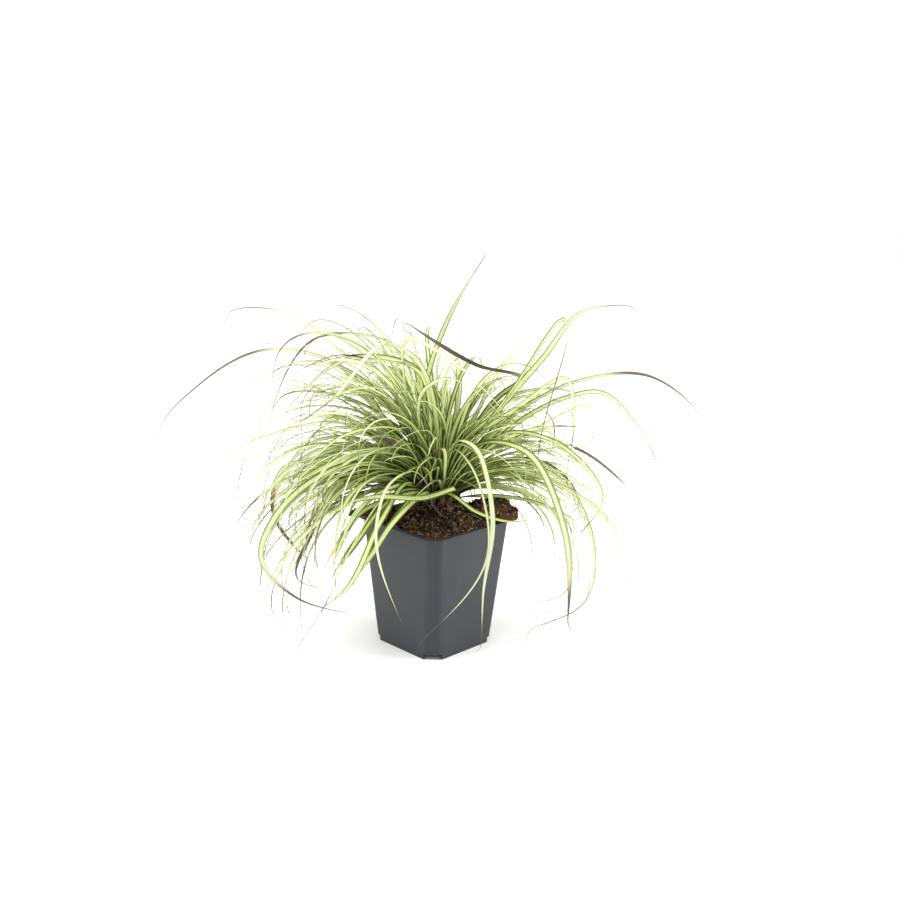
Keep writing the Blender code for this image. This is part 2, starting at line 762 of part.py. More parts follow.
def best_shoot(tuft, target, shoots):
    """The shoot whose own lean points best at a target and is not yet full."""
    def score(shoot):
        x, y, foot, home = tuft.stems[shoot]
        way = (target - Vector((x, y, foot + STEM_SUNK))).normalized()
        return way.dot(home) - 0.035 * len(tuft.blades[shoot])
    return max(shoots, key=score)


def place_leading(tuft, shoots, draw):
    """Set the leading blades, each nudged a little until it stands clear."""
    missed = 0
    for width, *points in LEADING_BLADES:
        knots = [from_view(*point) for point in points]
        shoot = best_shoot(tuft, knots[0], shoots)
        placed = False
        for attempt in range(TRIES * 2):
            loose = 2.0 * MM * attempt / 12
            level = draw.uniform(0.0, 1.0)
            root = tuft.root(shoot, level, draw)
            nudged = [
                knot + Vector((draw.uniform(-1, 1), draw.uniform(-1, 1), draw.uniform(-1, 1))) * loose
                for knot in knots
            ]
            home = tuft.stems[shoot][3]
            way = (nudged[0] - root).normalized()
            leave = home * 0.7 + way * 0.7 + Vector((0, 0, 0.45))
            line = drawn_line(root, leave, nudged)
            blade = Blade(line, width * MM, draw.uniform(0.5, 0.9), draw.uniform(-0.5, 0.5))
            if tuft.is_clear(blade, shoot):
                tuft.add(shoot, blade)
                placed = True
                break
            if attempt % 10 == 9:
                order = sorted(shoots, key=lambda k: -(knots[0] - Vector(tuft.stems[k][:2] + (
                    tuft.stems[k][2] + STEM_SUNK,))).normalized().dot(tuft.stems[k][3]))
                shoot = order[(attempt // 10) % 6]
        if not placed:
            missed += 1
    return missed


def habit(bearing, lean, level, draw):
    """Rise, fall, length, sweep and stiffness of a rule-grown blade.

    The tuft is combed: long arches to the left, shorter ones to the right,
    and only short upright blades before the crown, where the soil is bare.
    """
    turn = math.remainder(bearing - FRONT, 2 * math.pi)
    facing = math.cos(turn)
    rightness = math.sin(turn)
    inner = lean < math.radians(30)
    if inner:
        rise = math.radians(draw.uniform(72, 89) - 36 * lean)
        fall = math.radians(draw.uniform(-90, 0))
        length = draw.uniform(14.0, 20.5) - 2.5 * rightness
        stiff = draw.uniform(1.4, 2.8)
    else:
        rise = math.pi / 2 - lean * draw.uniform(0.5, 1.4) - math.radians(draw.uniform(2, 14))
        rise += math.radians(mix(-8, 6, level))
        fall = math.radians(draw.uniform(-105, -45))
        length = draw.uniform(13.0, 20.5) - 3.5 * rightness * draw.uniform(0.4, 1.0)
        stiff = draw.uniform(0.9, 1.9)
    sweep = draw.uniform(-0.9, 0.9)
    if facing > 0.35:
        rise = max(rise, math.radians(draw.uniform(55, 76)))
        length = draw.uniform(8.0, 14.0)
        away = -1.0 if turn < 0.35 else 1.0
        sweep = away * draw.uniform(0.3, 1.4)
        fall = math.radians(draw.uniform(-50, 10))
    return rise, fall, length * CM, sweep, stiff


def stays_in_tuft(line):
    """Rule-grown blades keep inside the long leading arches."""
    for point in line:
        right = (point.x + point.y) * math.sqrt(0.5)
        if right < -GROWN_LEFT or right > GROWN_RIGHT or point.z > GROWN_TOP:
            return False
    return True


def fill_shoot(tuft, shoot, wanted, draw):
    """Grow blades by rule on one shoot until it carries the wanted number."""
    home = tuft.stems[shoot][3]
    lean = math.acos(clamp(home.z))
    outward = math.atan2(home.y, home.x)
    ranks = (0.0, 1.0, -1.0)
    fan = math.radians(mix(120, 34, clamp(lean / math.radians(40))))
    start = len(tuft.blades[shoot])
    for k in range(start, wanted):
        level = k / (wanted - 1)
        for _ in range(TRIES):
            bearing = outward + ranks[k % 3] * fan * draw.uniform(0.4, 1.0) + draw.uniform(-0.25, 0.25)
            rise, fall, length, sweep, stiff = habit(bearing, lean, level, draw)
            thin = draw.random() < 0.2
            width = draw.uniform(1.6, 2.6) if thin else draw.uniform(3.2, 5.4)
            curl = draw.uniform(0.0, 1.3) * (draw.random() < 0.5)
            root = tuft.root(shoot, clamp(level + draw.uniform(-0.1, 0.1)), draw)
            line = grown_line(root, bearing, rise, fall, length, sweep, stiff, curl)
            blade = Blade(line, width * MM, draw.uniform(-0.1, 1.1), draw.uniform(-0.6, 0.6))
            if stays_in_tuft(line) and tuft.is_clear(blade, shoot):
                tuft.add(shoot, blade)
                break


def fill_dry(tuft, shoot, wanted, draw):
    """Short, low, slumped blades on a dead shoot."""
    home = tuft.stems[shoot][3]
    outward = math.atan2(home.y, home.x)
    for k in range(wanted):
        for _ in range(TRIES * 2):
            bearing = outward + draw.uniform(-0.9, 0.9)
            rise = math.radians(draw.uniform(25, 60))
            fall = math.radians(draw.uniform(-95, -40))
            line = grown_line(tuft.root(shoot, k / wanted, draw), bearing, rise, fall,
                              draw.uniform(9, 15) * CM, draw.uniform(-1.2, 1.2),
                              draw.uniform(0.7, 1.2), draw.uniform(0.3, 1.6))
            blade = Blade(line, draw.uniform(2.2, 3.6) * MM, 0.5, draw.uniform(-1.5, 1.5))
            if tuft.is_clear(blade, shoot):
                tuft.add(shoot, blade)
                break


def make_stem(name, place, neck, look):
    """A six-sided stem, a little wider at its foot, drawn in to a point on top."""
    x, y, foot, _ = place
    top = foot + STEM_SUNK + STEM_TALL
    rings = []
    for z, share in ((foot, 1.0), (top - 4 * MM, neck), (top, 0.42)):
        rings.append([
            Vector((x + STEM_RADIUS * share * math.cos(2 * math.pi * i / STEM_SIDES),
                    y + STEM_RADIUS * share * math.sin(2 * math.pi * i / STEM_SIDES), z))
            for i in range(STEM_SIDES)
        ])
    return rings_to_solid(name, rings, look)


def fused_shoot(name, place, blades, share, neck, solver, look):
    shoot = make_stem(name, place, neck, look)
    pieces = []
    for k, blade in enumerate(blades):
        points, faces = blade.skin(share)
        pieces.append(add_object(name + "_blade_%02d" % k, points, faces, None))
    combine(shoot, pieces, "UNION", solver)
    keep_main_shell(shoot)
    return shoot


def make_shoot(name, place, blades, look):
    """Fuse a stem and its blades into one sound body."""
    for share, neck, solver in product(FUSE_WIDTHS, STEM_NECKS, ("EXACT", "MANIFOLD")):
        shoot = fused_shoot(name, place, blades, share, neck, solver, look)
        if is_sound(shoot):
            soften(shoot, 50)
            return
        bpy.data.objects.remove(shoot, do_unlink=True)
    raise ValueError(name + " does not fuse into one sound body")


def walls():
    """The pot's and the soil's skins, which the blades keep clear of."""
    soil = soil_rings()
    soil.append([soil_middle()] * SOIL_TURNS)
    return [BVHTree.FromPolygons(*ring_skin(rings)) for rings in (pot_rings(), soil)]


def main():
    clear_scene()
    draw = random.Random(SEED)
    green = stem_places()
    dry = dry_places()
    stems = green + dry
    make_pot()
    make_soil(stems)
    tuft = Tuft(stems, walls())
    shoots = list(range(len(green)))
    missed = place_leading(tuft, shoots, draw)
    print("leading blades missed", missed)
    for k in range(len(dry)):
        fill_dry(tuft, len(green) + k, 3, draw)
    for shoot in shoots:
        fill_shoot(tuft, shoot, BLADES_PER_SHOOT, draw)
    print("blades", [len(group) for group in tuft.blades])
    for shoot in shoots:
        make_shoot("shoot_%02d" % (shoot + 1), stems[shoot], tuft.blades[shoot], LEAF)
    for k in range(len(dry)):
        shoot = len(green) + k
        make_shoot("dry_shoot_%02d" % (k + 1), stems[shoot], tuft.blades[shoot], STRAW)


main()
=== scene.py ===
"""Looks of a variegated carex sedge: striped leaf blades, peat soil and a square nursery pot."""

import math
import random

import bpy
from mathutils import Matrix, Vector, noise
from mathutils.bvhtree import BVHTree
from mathutils.geometry import interpolate_bezier


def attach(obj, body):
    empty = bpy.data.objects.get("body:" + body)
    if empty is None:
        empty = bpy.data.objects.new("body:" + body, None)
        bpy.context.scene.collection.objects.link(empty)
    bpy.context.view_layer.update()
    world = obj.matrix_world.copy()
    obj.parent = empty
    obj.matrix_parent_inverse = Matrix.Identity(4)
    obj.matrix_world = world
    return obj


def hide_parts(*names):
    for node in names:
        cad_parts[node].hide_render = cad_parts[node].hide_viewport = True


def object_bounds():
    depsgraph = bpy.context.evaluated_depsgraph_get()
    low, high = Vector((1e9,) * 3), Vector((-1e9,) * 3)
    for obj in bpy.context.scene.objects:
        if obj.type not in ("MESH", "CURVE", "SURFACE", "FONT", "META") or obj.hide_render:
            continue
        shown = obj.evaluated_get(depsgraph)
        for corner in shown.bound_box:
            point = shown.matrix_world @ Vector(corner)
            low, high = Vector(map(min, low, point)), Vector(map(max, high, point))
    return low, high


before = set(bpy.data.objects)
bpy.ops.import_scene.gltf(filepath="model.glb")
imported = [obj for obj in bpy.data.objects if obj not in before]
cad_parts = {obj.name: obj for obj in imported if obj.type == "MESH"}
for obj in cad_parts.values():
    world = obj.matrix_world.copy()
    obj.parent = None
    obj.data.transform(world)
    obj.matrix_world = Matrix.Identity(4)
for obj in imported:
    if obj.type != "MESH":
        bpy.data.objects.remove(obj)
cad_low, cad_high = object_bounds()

MM = 0.001
CM = 0.01

# Pot
POT_HEIGHT = 100 * MM
LIP_HALF = 44.75 * MM
LIP_THICK = 1.6 * MM
WALL_TOP_HALF = 42.4 * MM
WALL_FOOT_HALF = 34.5 * MM
CORNER_CUT_TOP = 6.6 * MM
CORNER_CUT_FOOT = 8.0 * MM
WALL = 1.2 * MM
EDGE_EASE = 0.8 * MM
FLOOR_UNDER = 4.6 * MM
FLOOR_TOP = 5.9 * MM
NOTCH_HEIGHT = 4.2 * MM
NOTCH_PAST_CORNER = 2.0 * MM
BOSS_RADIUS = 9.0 * MM
RIB_WIDTH = 1.6 * MM
RIB_CLEAR = 1.0 * MM
DRAINS = ((23.0 * MM, 3.5 * MM), (12.5 * MM, 2.4 * MM))

# Soil
GAP = 0.3 * MM
FILL_BELOW_RIM = 2.2 * MM
MOUND = 18.5 * MM
SOIL_TURNS = 40
SOIL_SHARES = (1.0, 0.95, 0.87, 0.76, 0.62, 0.44)
CORNER = math.radians(45)
CORNER_CROWDING = 0.32
# Two crusty lumps over the rim: bearing, half spread, overhang and height
LUMPS = (
    (math.radians(45), math.radians(27), 9.5 * MM, 17.0 * MM),
    (math.radians(225), math.radians(22), 14.0 * MM, 8.0 * MM),
)

# Shoots
CROWN = (0.0, 3.0 * MM)
RINGS = ((1, 0.0, 0), (6, 5.8 * MM, 20), (11, 11.0 * MM, 50))
STEM_RADIUS = 2.05 * MM
STEM_SIDES = 6
STEM_SUNK = 8.0 * MM
STEM_TALL = 7.0 * MM
ROOT_LOOSE = 0.55 * MM
ROOT_RUN = 12.0 * MM
# Where blades leave their stem, in millimetres: over the soil and under the stem's top
ROOT_OVER_SOIL = 1.5
ROOT_UNDER_TOP = 2.0
BLADES_PER_SHOOT = 11
DRY_STEMS = ((205, 17.0 * MM), (80, 17.0 * MM))
FRONT = math.radians(-45)

# Leaf blades: points along each centre line and along each curve of a drawn one
FINE_STEPS = 48
CURVE_POINTS = 14
KEEL_DEPTH = 0.85 * MM
KEEL_DEPTH_TIP = 0.62 * MM
NARROWEST = 1.0 * MM
# Rows in the sleeves of short and long blades, and how long those are
ROWS_BY_LENGTH = (4.6, 7.4)
SHORT_BLADE = 10 * CM
LONG_BLADE = 24 * CM
CLEARANCE = 0.36 * MM
LOWEST = 6.0 * MM
TRIES = 240
# How much a blade leaves its shoot along the shoot's lean and its target, and upward
LEAVE_AHEAD = 0.7
LEAVE_UP = 0.45
# How far a leading blade's points are nudged after every dozen tries
NUDGE = 2.0 * MM
# What each blade already on a shoot takes off its choice for the next
FULL_SHOOT_COST = 0.035
SEED = 41
# How far rule-grown blades may reach: to the left, to the right, and up
GROWN_LEFT = 150 * MM
GROWN_RIGHT = 128 * MM
GROWN_TOP = 245 * MM

# Leading blades, as seen from the pot's cut corner that points to -Y and +X: width in
# millimetres, look, then points (right, towards, up) in centimetres. A look is the share
# of the length where brown begins, paleness from 0 green to 1 pale, and the share where
# the blade starts to narrow.
LEADING_BLADES = (
    # left side, the long outer arches
    (3.6, (0.54, 0.5, 0.60),
     (-9.5, -7, 21), (-15, -9, 21), (-20, -9, 18), (-23, -8, 14.5), (-22.5, -7, 10.5)),
    (2.2, (0.80, 0.8, 0.50), (-9, -3, 21), (-13, -3, 20.5), (-17.5, -3, 17.5), (-21.5, -3, 11.5)),
    (2.6, (0.76, 0.7, 0.55), (-8, -9, 21), (-13.5, -12, 24), (-18, -12, 23.5), (-18.5, -12, 21)),
    (1.8, (0.86, 0.9, 0.50), (-5.5, -8, 22), (-11.5, -10, 24), (-16.5, -11, 23)),
    (2.0, (0.58, 0.6, 0.60), (-4.5, -4, 23), (-9.5, -4, 23), (-13, -4, 17.5), (-13.5, -4, 15.5)),
    (2.6, (0.76, 0.3, 0.72), (-1.5, 2, 22), (-4.5, 3, 23), (-9.5, 3, 22)),
    (4.6, (0.87, 0.9, 0.72), (-2, 5, 23.5), (-3.5, 7, 24.5), (-7, 10, 21), (-9, 10, 19.5)),
    # left side, the low ones that hook under
    (3.4, (0.82, 0.6, 0.50),
     (-7, 0, 17), (-12.5, 0, 16.5), (-17.5, 0, 13), (-17, 0, 10), (-15, 0, 8)),
    (5.2, (0.80, 0.4, 0.62),
     (-6.5, 4, 15), (-11.5, 6, 11.5), (-12.5, 6, 8.5), (-10, 6, 5.5), (-7, 6, 4.5)),
    (4.0, (0.93, 0.9, 0.50), (-8.5, 1, 15.5), (-12, 2, 13), (-13.5, 2, 10), (-11, 2, 6.5)),
    (2.2, (0.72, 0.7, 0.50), (-8, -5, 19), (-12, -5, 18.5), (-15.5, -5, 13), (-16, -5, 4.5)),
    (2.8, (0.70, 0.5, 0.78), (-8.5, -2, 13.5), (-12, -3, 12), (-13, -3, 9.5), (-10.5, -3, 5.5)),
    (3.2, (0.94, 0.0, 0.50), (-6.5, 4, 14), (-9, 5, 13), (-11.5, 5, 10.5)),
    (3.8, (0.60, 0.5, 0.62), (-7.5, 3, 13.2), (-9, 4, 10), (-10, 4, 6), (-8.5, 4, 5.5)),
    # front left, over the rim
    (5.4, (0.98, 0.2, 0.80), (-2.5, 3.5, 13), (-4, 5, 12), (-5.5, 6, 10), (-7, 7, 8)),
    (4.8, (0.97, 0.3, 0.72), (-2, 3, 13.2), (-4, 6, 11.3), (-6.5, 8, 7), (-7.5, 8, 6)),
    (4.0, (1.00, 0.1, 0.78), (-1.5, 3.5, 12.6), (-4, 6.6, 10), (-5.5, 7, 7.5)),
    (2.2, (0.97, 1.0, 0.60), (-1.5, 3.5, 14.5), (-3.5, 7, 14), (-4, 8.5, 12), (-2.5, 8.5, 5.5)),
    (4.4, (1.10, 0.3, 0.50),
     (1.3, 4, 13.4), (-0.6, 5, 13), (-4.6, 5, 12.9), (-7.4, 4, 11.6), (-8.6, 3.5, 10.2)),
    (3.8, (1.10, 0.2, 0.60), (1.4, 4.2, 12.9), (2.9, 5.2, 12.1), (5.6, 5, 11.3), (7.4, 4.4, 11.4)),
    # front, hanging before the pot
    (4.4, (0.93, 0.6, 0.60), (1.5, 4, 17), (3, 7.5, 17), (4, 9, 13), (3.5, 9, 7), (3.5, 9, 4)),
    (1.8, (0.90, 0.8, 0.60), (1.5, 3.5, 16), (3.2, 7, 15), (3.5, 8.4, 10), (0, 9, 4)),
    # right side
    (6.2, (0.88, 0.4, 0.76), (3, 3, 16.5), (6.5, 6.5, 16.8), (9, 8.5, 12), (9.5, 9, 5.5)),
    (4.2, (0.92, 0.6, 0.60), (5, 1, 14.2), (8, 1, 13.5), (13.5, 3, 10), (14.5, 3, 5.5)),
    (3.2, (0.84, 0.6, 0.55), (5.5, -1, 14), (9, 0, 13.5), (12, 2, 8.5), (11.5, 2, 4), (8, 2, 2)),
    (2.0, (0.72, 0.7, 0.55), (4.5, 2, 14.5), (9, 4, 11), (9.7, 4, 5.5), (6.5, 4, 4.5)),
    (3.6, (0.88, 0.3, 0.68), (5.5, 3, 17.5), (9, 5, 17), (12, 5, 13), (10, 5, 10)),
    (3.2, (0.62, 0.2, 0.86), (3.5, -1, 15), (7, -2, 16), (11, -2, 15), (15, -2, 12)),
    (3.4, (0.58, 0.3, 0.72),
     (6, -1, 20.5), (9.2, -1.5, 25.2), (9.4, 0, 25), (7.5, 4, 17.5), (6.7, 6, 11)),
    (5.0, (0.94, 0.4, 0.62), (5, -2, 18.5), (8, -3, 22), (11, -4, 25.5), (13.5, -4, 26)),
    (3.4, (0.62, 0.5, 0.62),
     (6.5, -3, 18), (10.5, -4, 20), (16.5, -4, 20.5), (20.5, -4, 18), (21.5, -4, 16.5)),
    (3.8, (0.90, 0.5, 0.60),
     (6, 0, 17.5), (9.5, 0, 19.5), (12, 0, 20), (15, 0, 17.5), (17, 0, 14)),
    (4.0, (0.86, 0.6, 0.60), (6.5, -1, 20), (9, 0, 21), (10.5, 0, 18), (10.5, 0, 14)),
    (2.0, (0.76, 0.7, 0.50), (7.5, 1, 17.5), (11.5, 1, 19), (11.5, 1, 16.5), (10, 1, 14)),
    # upright centre
    (4.2, (0.95, 0.3, 0.62), (-1, -1, 19.5), (0.5, -3, 24.5), (3, -4, 29)),
    (4.8, (0.52, 0.2, 0.82), (5, -3, 18.5), (6.5, -3, 20.5), (3, -1, 21.2), (-2.5, 0, 25)),
    (3.6, (0.97, 0.7, 0.60), (-2.5, 2, 21.5), (-2.3, 4.5, 24.3), (1, 8, 23.5), (5, 10, 20)),
    (3.2, (0.96, 0.8, 0.60), (-1, 4, 21), (1, 6.5, 21.8), (5.5, 9, 19.5)),
    (6.6, (1.05, 0.1, 0.60), (-4.5, 3, 15.5), (-7, 4, 15), (-11, 4, 12.5)),
    (4.4, (0.97, 0.3, 0.60), (-3, 3, 17.5), (-6.5, 5, 17.5), (-9.5, 6, 15)),
    (4.8, (0.97, 0.4, 0.66), (-2, 2, 19.5), (-5.5, 4, 20.5), (-9.5, 5, 19)),
    (4.6, (0.95, 0.4, 0.62), (-2, -1, 21.5), (-6.5, -1, 22), (-11, -1, 18.5)),
)

# Leading blades, by their place in the list, whose brown ends turn their flat side to
# the front: how far, in radians
TURNED_BLADES = {5: 1.2, 11: 1.1, 35: 1.5}
# Leading blades that are a little narrower than their solids: share of the width
NARROWER_BLADES = {20: 0.80, 22: 0.86}

# Blades of the finer pieces only: width in millimetres, look, then points, as above
DRAWN_BLADES = (
    # front left, over the rim
    (4.2, (0.98, 0.2, 0.80), (-2.4, 4, 12.8), (-5.6, 5, 11.4), (-6.8, 6, 9.6), (-7.1, 6.5, 8.3)),
    (4.4, (1.00, 0.5, 0.76), (-1.2, 3.8, 13), (-3.2, 6, 11.4), (-5, 7.2, 8.8), (-6.2, 7.5, 7)),
    (3.4, (0.95, 0.7, 0.74), (-2.6, 3.2, 13.6), (-5, 4.6, 12.2), (-7, 5.5, 9.8), (-7.7, 6, 8)),
    (1.4, (0.78, 0.8, 0.50),
     (-3, 4, 13), (-6, 7, 9), (-7.4, 8, 6.2), (-8.2, 8, 5), (-8.9, 8, 3.4)),
    # left, brown blades that show their flat side
    (4.6, (0.72, 0.3, 0.80), (-1.5, 2.4, 22), (-4.5, 3.3, 23), (-7.5, 3.3, 22.6), (-9.5, 3.2, 22)),
    (3.4, (0.66, 0.4, 0.84),
     (-8.5, -1.6, 13.8), (-12, -2.6, 12.4), (-13, -2.6, 9.6), (-10.6, -2.6, 5.9)),
    (5.0, (0.26, 0.2, 0.80), (-2.3, 1, 15.3), (-4, 1, 16.4), (-5.6, 1.2, 17)),
    # left, hanging threads and folded ends
    (1.7, (0.55, 0.8, 0.50), (-6, 0, 17.5), (-9, 1, 17), (-10.6, 1.5, 14), (-10.6, 1.5, 9)),
    (1.6, (0.62, 0.7, 0.50), (-5, 2, 16), (-7.6, 3, 14.8), (-8.8, 3, 11), (-8.2, 3, 7)),
    (3.2, (0.74, 0.8, 0.66), (-6, 4, 14.6), (-8.4, 4.5, 13), (-9.1, 5, 10.5), (-9.4, 5, 8)),
    (2.8, (0.80, 0.6, 0.60), (-6, 2.5, 15), (-8.8, 3, 13.4), (-9.6, 3, 10.5), (-9.4, 3, 8.6)),
    (1.4, (0.82, 0.9, 0.50), (-7, 2, 15), (-10.5, 2.5, 14), (-12.2, 3, 10.5), (-10.6, 3, 6.8)),
    (1.3, (0.60, 0.9, 0.50), (-6, -2, 17), (-11, -2, 17), (-13.6, -2, 12), (-13, -2, 7)),
    (1.5, (0.66, 0.6, 0.50), (-5, 1, 15), (-8.6, 2, 14), (-11, 2, 10), (-10.4, 2, 6)),
    # right, curling low
    (1.4, (0.74, 0.7, 0.50),
     (6, 1, 14), (9.5, 2, 12.5), (11.6, 3, 8), (11, 3, 4.2), (7.8, 3, 3.4)),
    (1.2, (0.64, 0.7, 0.50), (5, 3, 14), (9, 4, 12), (10.8, 4, 8), (10.4, 4, 4.4), (8.4, 4, 3)),
    (1.3, (0.80, 0.9, 0.50), (6, 2, 14.5), (10.5, 3, 14), (13, 3, 10.5), (12.6, 3, 7.5)),
)
DRAWN_TRIES = 12
# How far their points are nudged, in millimetres
DRAWN_NUDGE = 3
# Blades wider than this, in millimetres, turn their flat side to the front
WIDE = 3
WIDE_ROLL = 1.2

# Finer leaf blades: places across, thickness, and the share where they start to narrow
ACROSS = (-1.0, -0.66, -0.33, 0.0, 0.33, 0.66, 1.0)
SHEET = 0.24 * MM
NARROWS_FROM = 0.52
# Depth of a blade's channel, and of that at its foot: at most, and as a share of its width
CHANNEL = (0.62 * MM, 0.20)
FOOT_CHANNEL = (1.1 * MM, 0.42)
# Shares of the length between which the brown of a rule-grown blade begins
BROWN_TIPS = (0.76, 1.12)
# Blades that end within this reach and height stay green to the tip, without a thread
INNER_REACH = 80 * MM
INNER_TOP = 200 * MM
# How far the finer pieces may pass the solids' box, and how near they come to the floor
ROOM_OVER = 8 * MM
OFF_FLOOR = 4 * MM

# Colours of a leaf: its cream band, its green margins, its foot, a painted shade low in the crown,
# and its dry end
STRAW = (0.52, 0.57, 0.22)
IVORY = (0.76, 0.78, 0.49)
LIME = (0.53, 0.61, 0.12)
VEIN_GREEN = (0.12, 0.22, 0.022)
DEEP_GREEN = (0.030, 0.070, 0.004)
GRASS_GREEN = (0.190, 0.290, 0.034)
SAGE = (0.30, 0.36, 0.12)
OLD_SAGE = (0.32, 0.37, 0.15)
# Painted shade, laid over the blades low in the crown where they shade each other
SHADED_GREEN = (0.014, 0.036, 0.002)
CROWN_PURPLE = (0.026, 0.012, 0.010)
BLEACHED = (0.52, 0.525, 0.445)
YELLOWED = (0.50, 0.45, 0.24)
DEAD_BROWN = (0.055, 0.034, 0.024)
DEAD_TAN = (0.21, 0.152, 0.108)
THREAD_GREY = (0.23, 0.205, 0.17)

# Threads at the tips; the turns and the droop are for each step
THREAD_WIDTH = 0.40 * MM
THREAD_END = 0.20 * MM
THREAD_LONGEST = 34 * MM
THREAD_STEP = 1.3 * MM
THREAD_CLEAR = 1.2 * MM
THREAD_TURN = 0.16
THREAD_CURL = 0.20
THREAD_DROOP = 0.05
CURL_GROWTH = 1.04

# Fine blades added to the tuft: name, number, bearing from the view's right and spread
# in degrees, then length in centimetres, rise and fall in degrees and width in
# millimetres, each between two values
FINE_GROUPS = (
    ("fine_blades_left", 28, 180, 46, (12, 21), (30, 76), (-115, -55), (1.0, 2.8)),
    ("fine_blades_left_low", 40, 188, 42, (11, 18), (15, 60), (-122, -74), (1.0, 3.0)),
    ("fine_blades_left_hanging", 26, 186, 36, (16, 22), (15, 52), (-128, -92), (1.0, 2.2)),
    ("fine_blades_right", 22, 0, 45, (12, 19), (34, 70), (-105, -50), (1.0, 2.6)),
    ("fine_blades_right_low", 16, 5, 34, (13, 18), (20, 50), (-118, -84), (1.0, 2.4)),
    ("fine_blades_back", 26, 90, 60, (12, 19), (35, 74), (-95, -40), (1.2, 3.2)),
    ("fine_blades_top", 84, 160, 80, (12, 20), (58, 86), (-85, 20), (1.0, 3.4)),
)
# Where brown begins on them, and on the group that hangs and has dried the most
FINE_BROWN = (0.78, 1.14)
HANGING_BROWN = (0.60, 1.05)
# Bearing of the view's right, in degrees
VIEW_RIGHT = 45
# Share of fine blades that grow from the middle shoot, and how many shoots the others
# are drawn from
MIDDLE_SHARE = 0.1
NEAR_SHOOTS = 6

# Leaf bases
SHEATH_RINGS = 9
SHEATH_SIDES = 14

# Finer pot
POT_ROUNDING = 2.6 * MM
ARC_POINTS = 5

# Finer soil: points round it, rings of its top, and the rows of the whole body from
# which its relief begins and has its full strength
FINE_TURNS = 240
FINE_RINGS = 54
FIRST_ROUGH_ROW = 3
FULLY_ROUGH_ROW = 7

# What lies on the soil: a height over it all, the lowest place, then the numbers
ABOVE_SOIL = 20 * CM
LOWEST_CRUMB = POT_HEIGHT - 9 * MM
CRUMBS = 1100
PERLITE = 16
# Pale specks at the front rim, in the view's right and towards, in centimetres
FRONT_SPECKS = ((-2.3, 3.3), (-2.0, 3.4), (0.1, 5.2), (0.7, 4.9), (1.6, 3.9))
FIBRES = 170
FIBRE_STEPS = 9
FIBRE_SIDES = 4

# Seeds of the finer pieces
SHOOTS_SEED = 7
SHEATHS_SEED = 8
FINE_SEED = 9
CRUMBS_SEED = 10
FIBRES_SEED = 11
DRAWN_SEED = 12

# Stage: half the floor's side in metres
FLOOR_HALF = 6.0

# Lamps: name, place in the view in centimetres, size in metres and power in watts
LIGHTS = (
    ("box_left", (-150, 0, 45), 1.1, 11.5),
    ("box_right", (150, 0, 45), 1.1, 16.0),
    ("top", (-50, 30, 210), 1.3, 20.0),
)
LIT_POINT = Vector((0, 0, 0.14))
WORLD_STRENGTH = 0.62
EXPOSURE = 0.70

# The camera's place and how it is turned, in the view's right, towards and up
CAMERA_AT = (0.98, 84.78, 36.82)
CAMERA_BACK = (0.0, 0.9692, 0.2463)
CAMERA_UP = (0.0, -0.2463, 0.9692)
CAMERA_ROLL = math.radians(1.21)
# Lens and sensor in millimetres, and the nearest it sees in metres
CAMERA_LENS = 46.236
CAMERA_SENSOR = 36.0
CAMERA_NEAREST = 0.05


def clamp(value, low=0.0, high=1.0):
    return max(low, min(high, value))


def ease(value, start, end):
    """Zero before start, one after end, with a soft change between them."""
    t = clamp((value - start) / (end - start))
    return t * t * (3.0 - 2.0 * t)


def mix(a, b, t):
    return a + (b - a) * t


def from_view(right, towards, up):
    """A point given from the front corner's side, in centimetres."""
    half_root = math.sqrt(0.5)
    x = (right + towards) * half_root
    y = (right - towards) * half_root
    return Vector((x, y, up)) * CM


def pot_half(z):
    """Half width of the wall's outer side at a height."""
    return mix(WALL_FOOT_HALF, WALL_TOP_HALF, z / POT_HEIGHT)


def pot_cut(z):
    """How far the corner is cut back along each side at a height."""
    return mix(CORNER_CUT_FOOT, CORNER_CUT_TOP, z / POT_HEIGHT)


def cut_corners(half, cut, z):
    """The eight corners of a square ring with cut corners."""
    near = half - cut
    corners = []
    for turn in range(4):
        angle = turn * math.pi / 2
        for x, y in ((half, near), (near, half)):
            corners.append(Vector((x * math.cos(angle) - y * math.sin(angle),
                                   x * math.sin(angle) + y * math.cos(angle), z)))
    return corners


def cut_square(half, cut, z):
    """Square ring with cut corners, each of its eight edges eased by two points."""
    corners = cut_corners(half, cut, z)
    ring = []
    for i, corner in enumerate(corners):
        for other in (corners[i - 1], corners[(i + 1) % 8]):
            ring.append(corner + (other - corner).normalized() * EDGE_EASE)
    return ring


def bands(first, count, rings):
    """Side faces between rings of count points, numbered on from the first point."""
    faces = []
    for low in range(first, first + (rings - 1) * count, count):
        for i in range(count):
            j = (i + 1) % count
            faces.append((low + i, low + j, low + count + j, low + count + i))
    return faces


def ends(first, count, rings):
    """The two faces that close such a run of rings."""
    last = first + (rings - 1) * count
    return [tuple(range(first + count - 1, first - 1, -1)), tuple(range(last, last + count))]


def ring_skin(rings):
    """Points and side faces of a run of equal rings."""
    points = [point for ring in rings for point in ring]
    return points, bands(0, len(rings[0]), len(rings))


def closed_skin(rings):
    """Points and faces of a run of equal rings, with both of its ends closed."""
    points, faces = ring_skin(rings)
    return points, faces + ends(0, len(rings[0]), len(rings))


def circle(x, y, radius, z, sides):
    angles = (2 * math.pi * i / sides for i in range(sides))
    return [Vector((x + radius * math.cos(a), y + radius * math.sin(a), z)) for a in angles]


def mesh_of(name, points, faces):
    mesh = bpy.data.meshes.new(name)
    mesh.from_pydata([tuple(point) for point in points], [], faces)
    return mesh


def in_scene(name, data):
    """A new object that holds the data, linked to the scene."""
    thing = bpy.data.objects.new(name, data)
    bpy.context.scene.collection.objects.link(thing)
    return thing


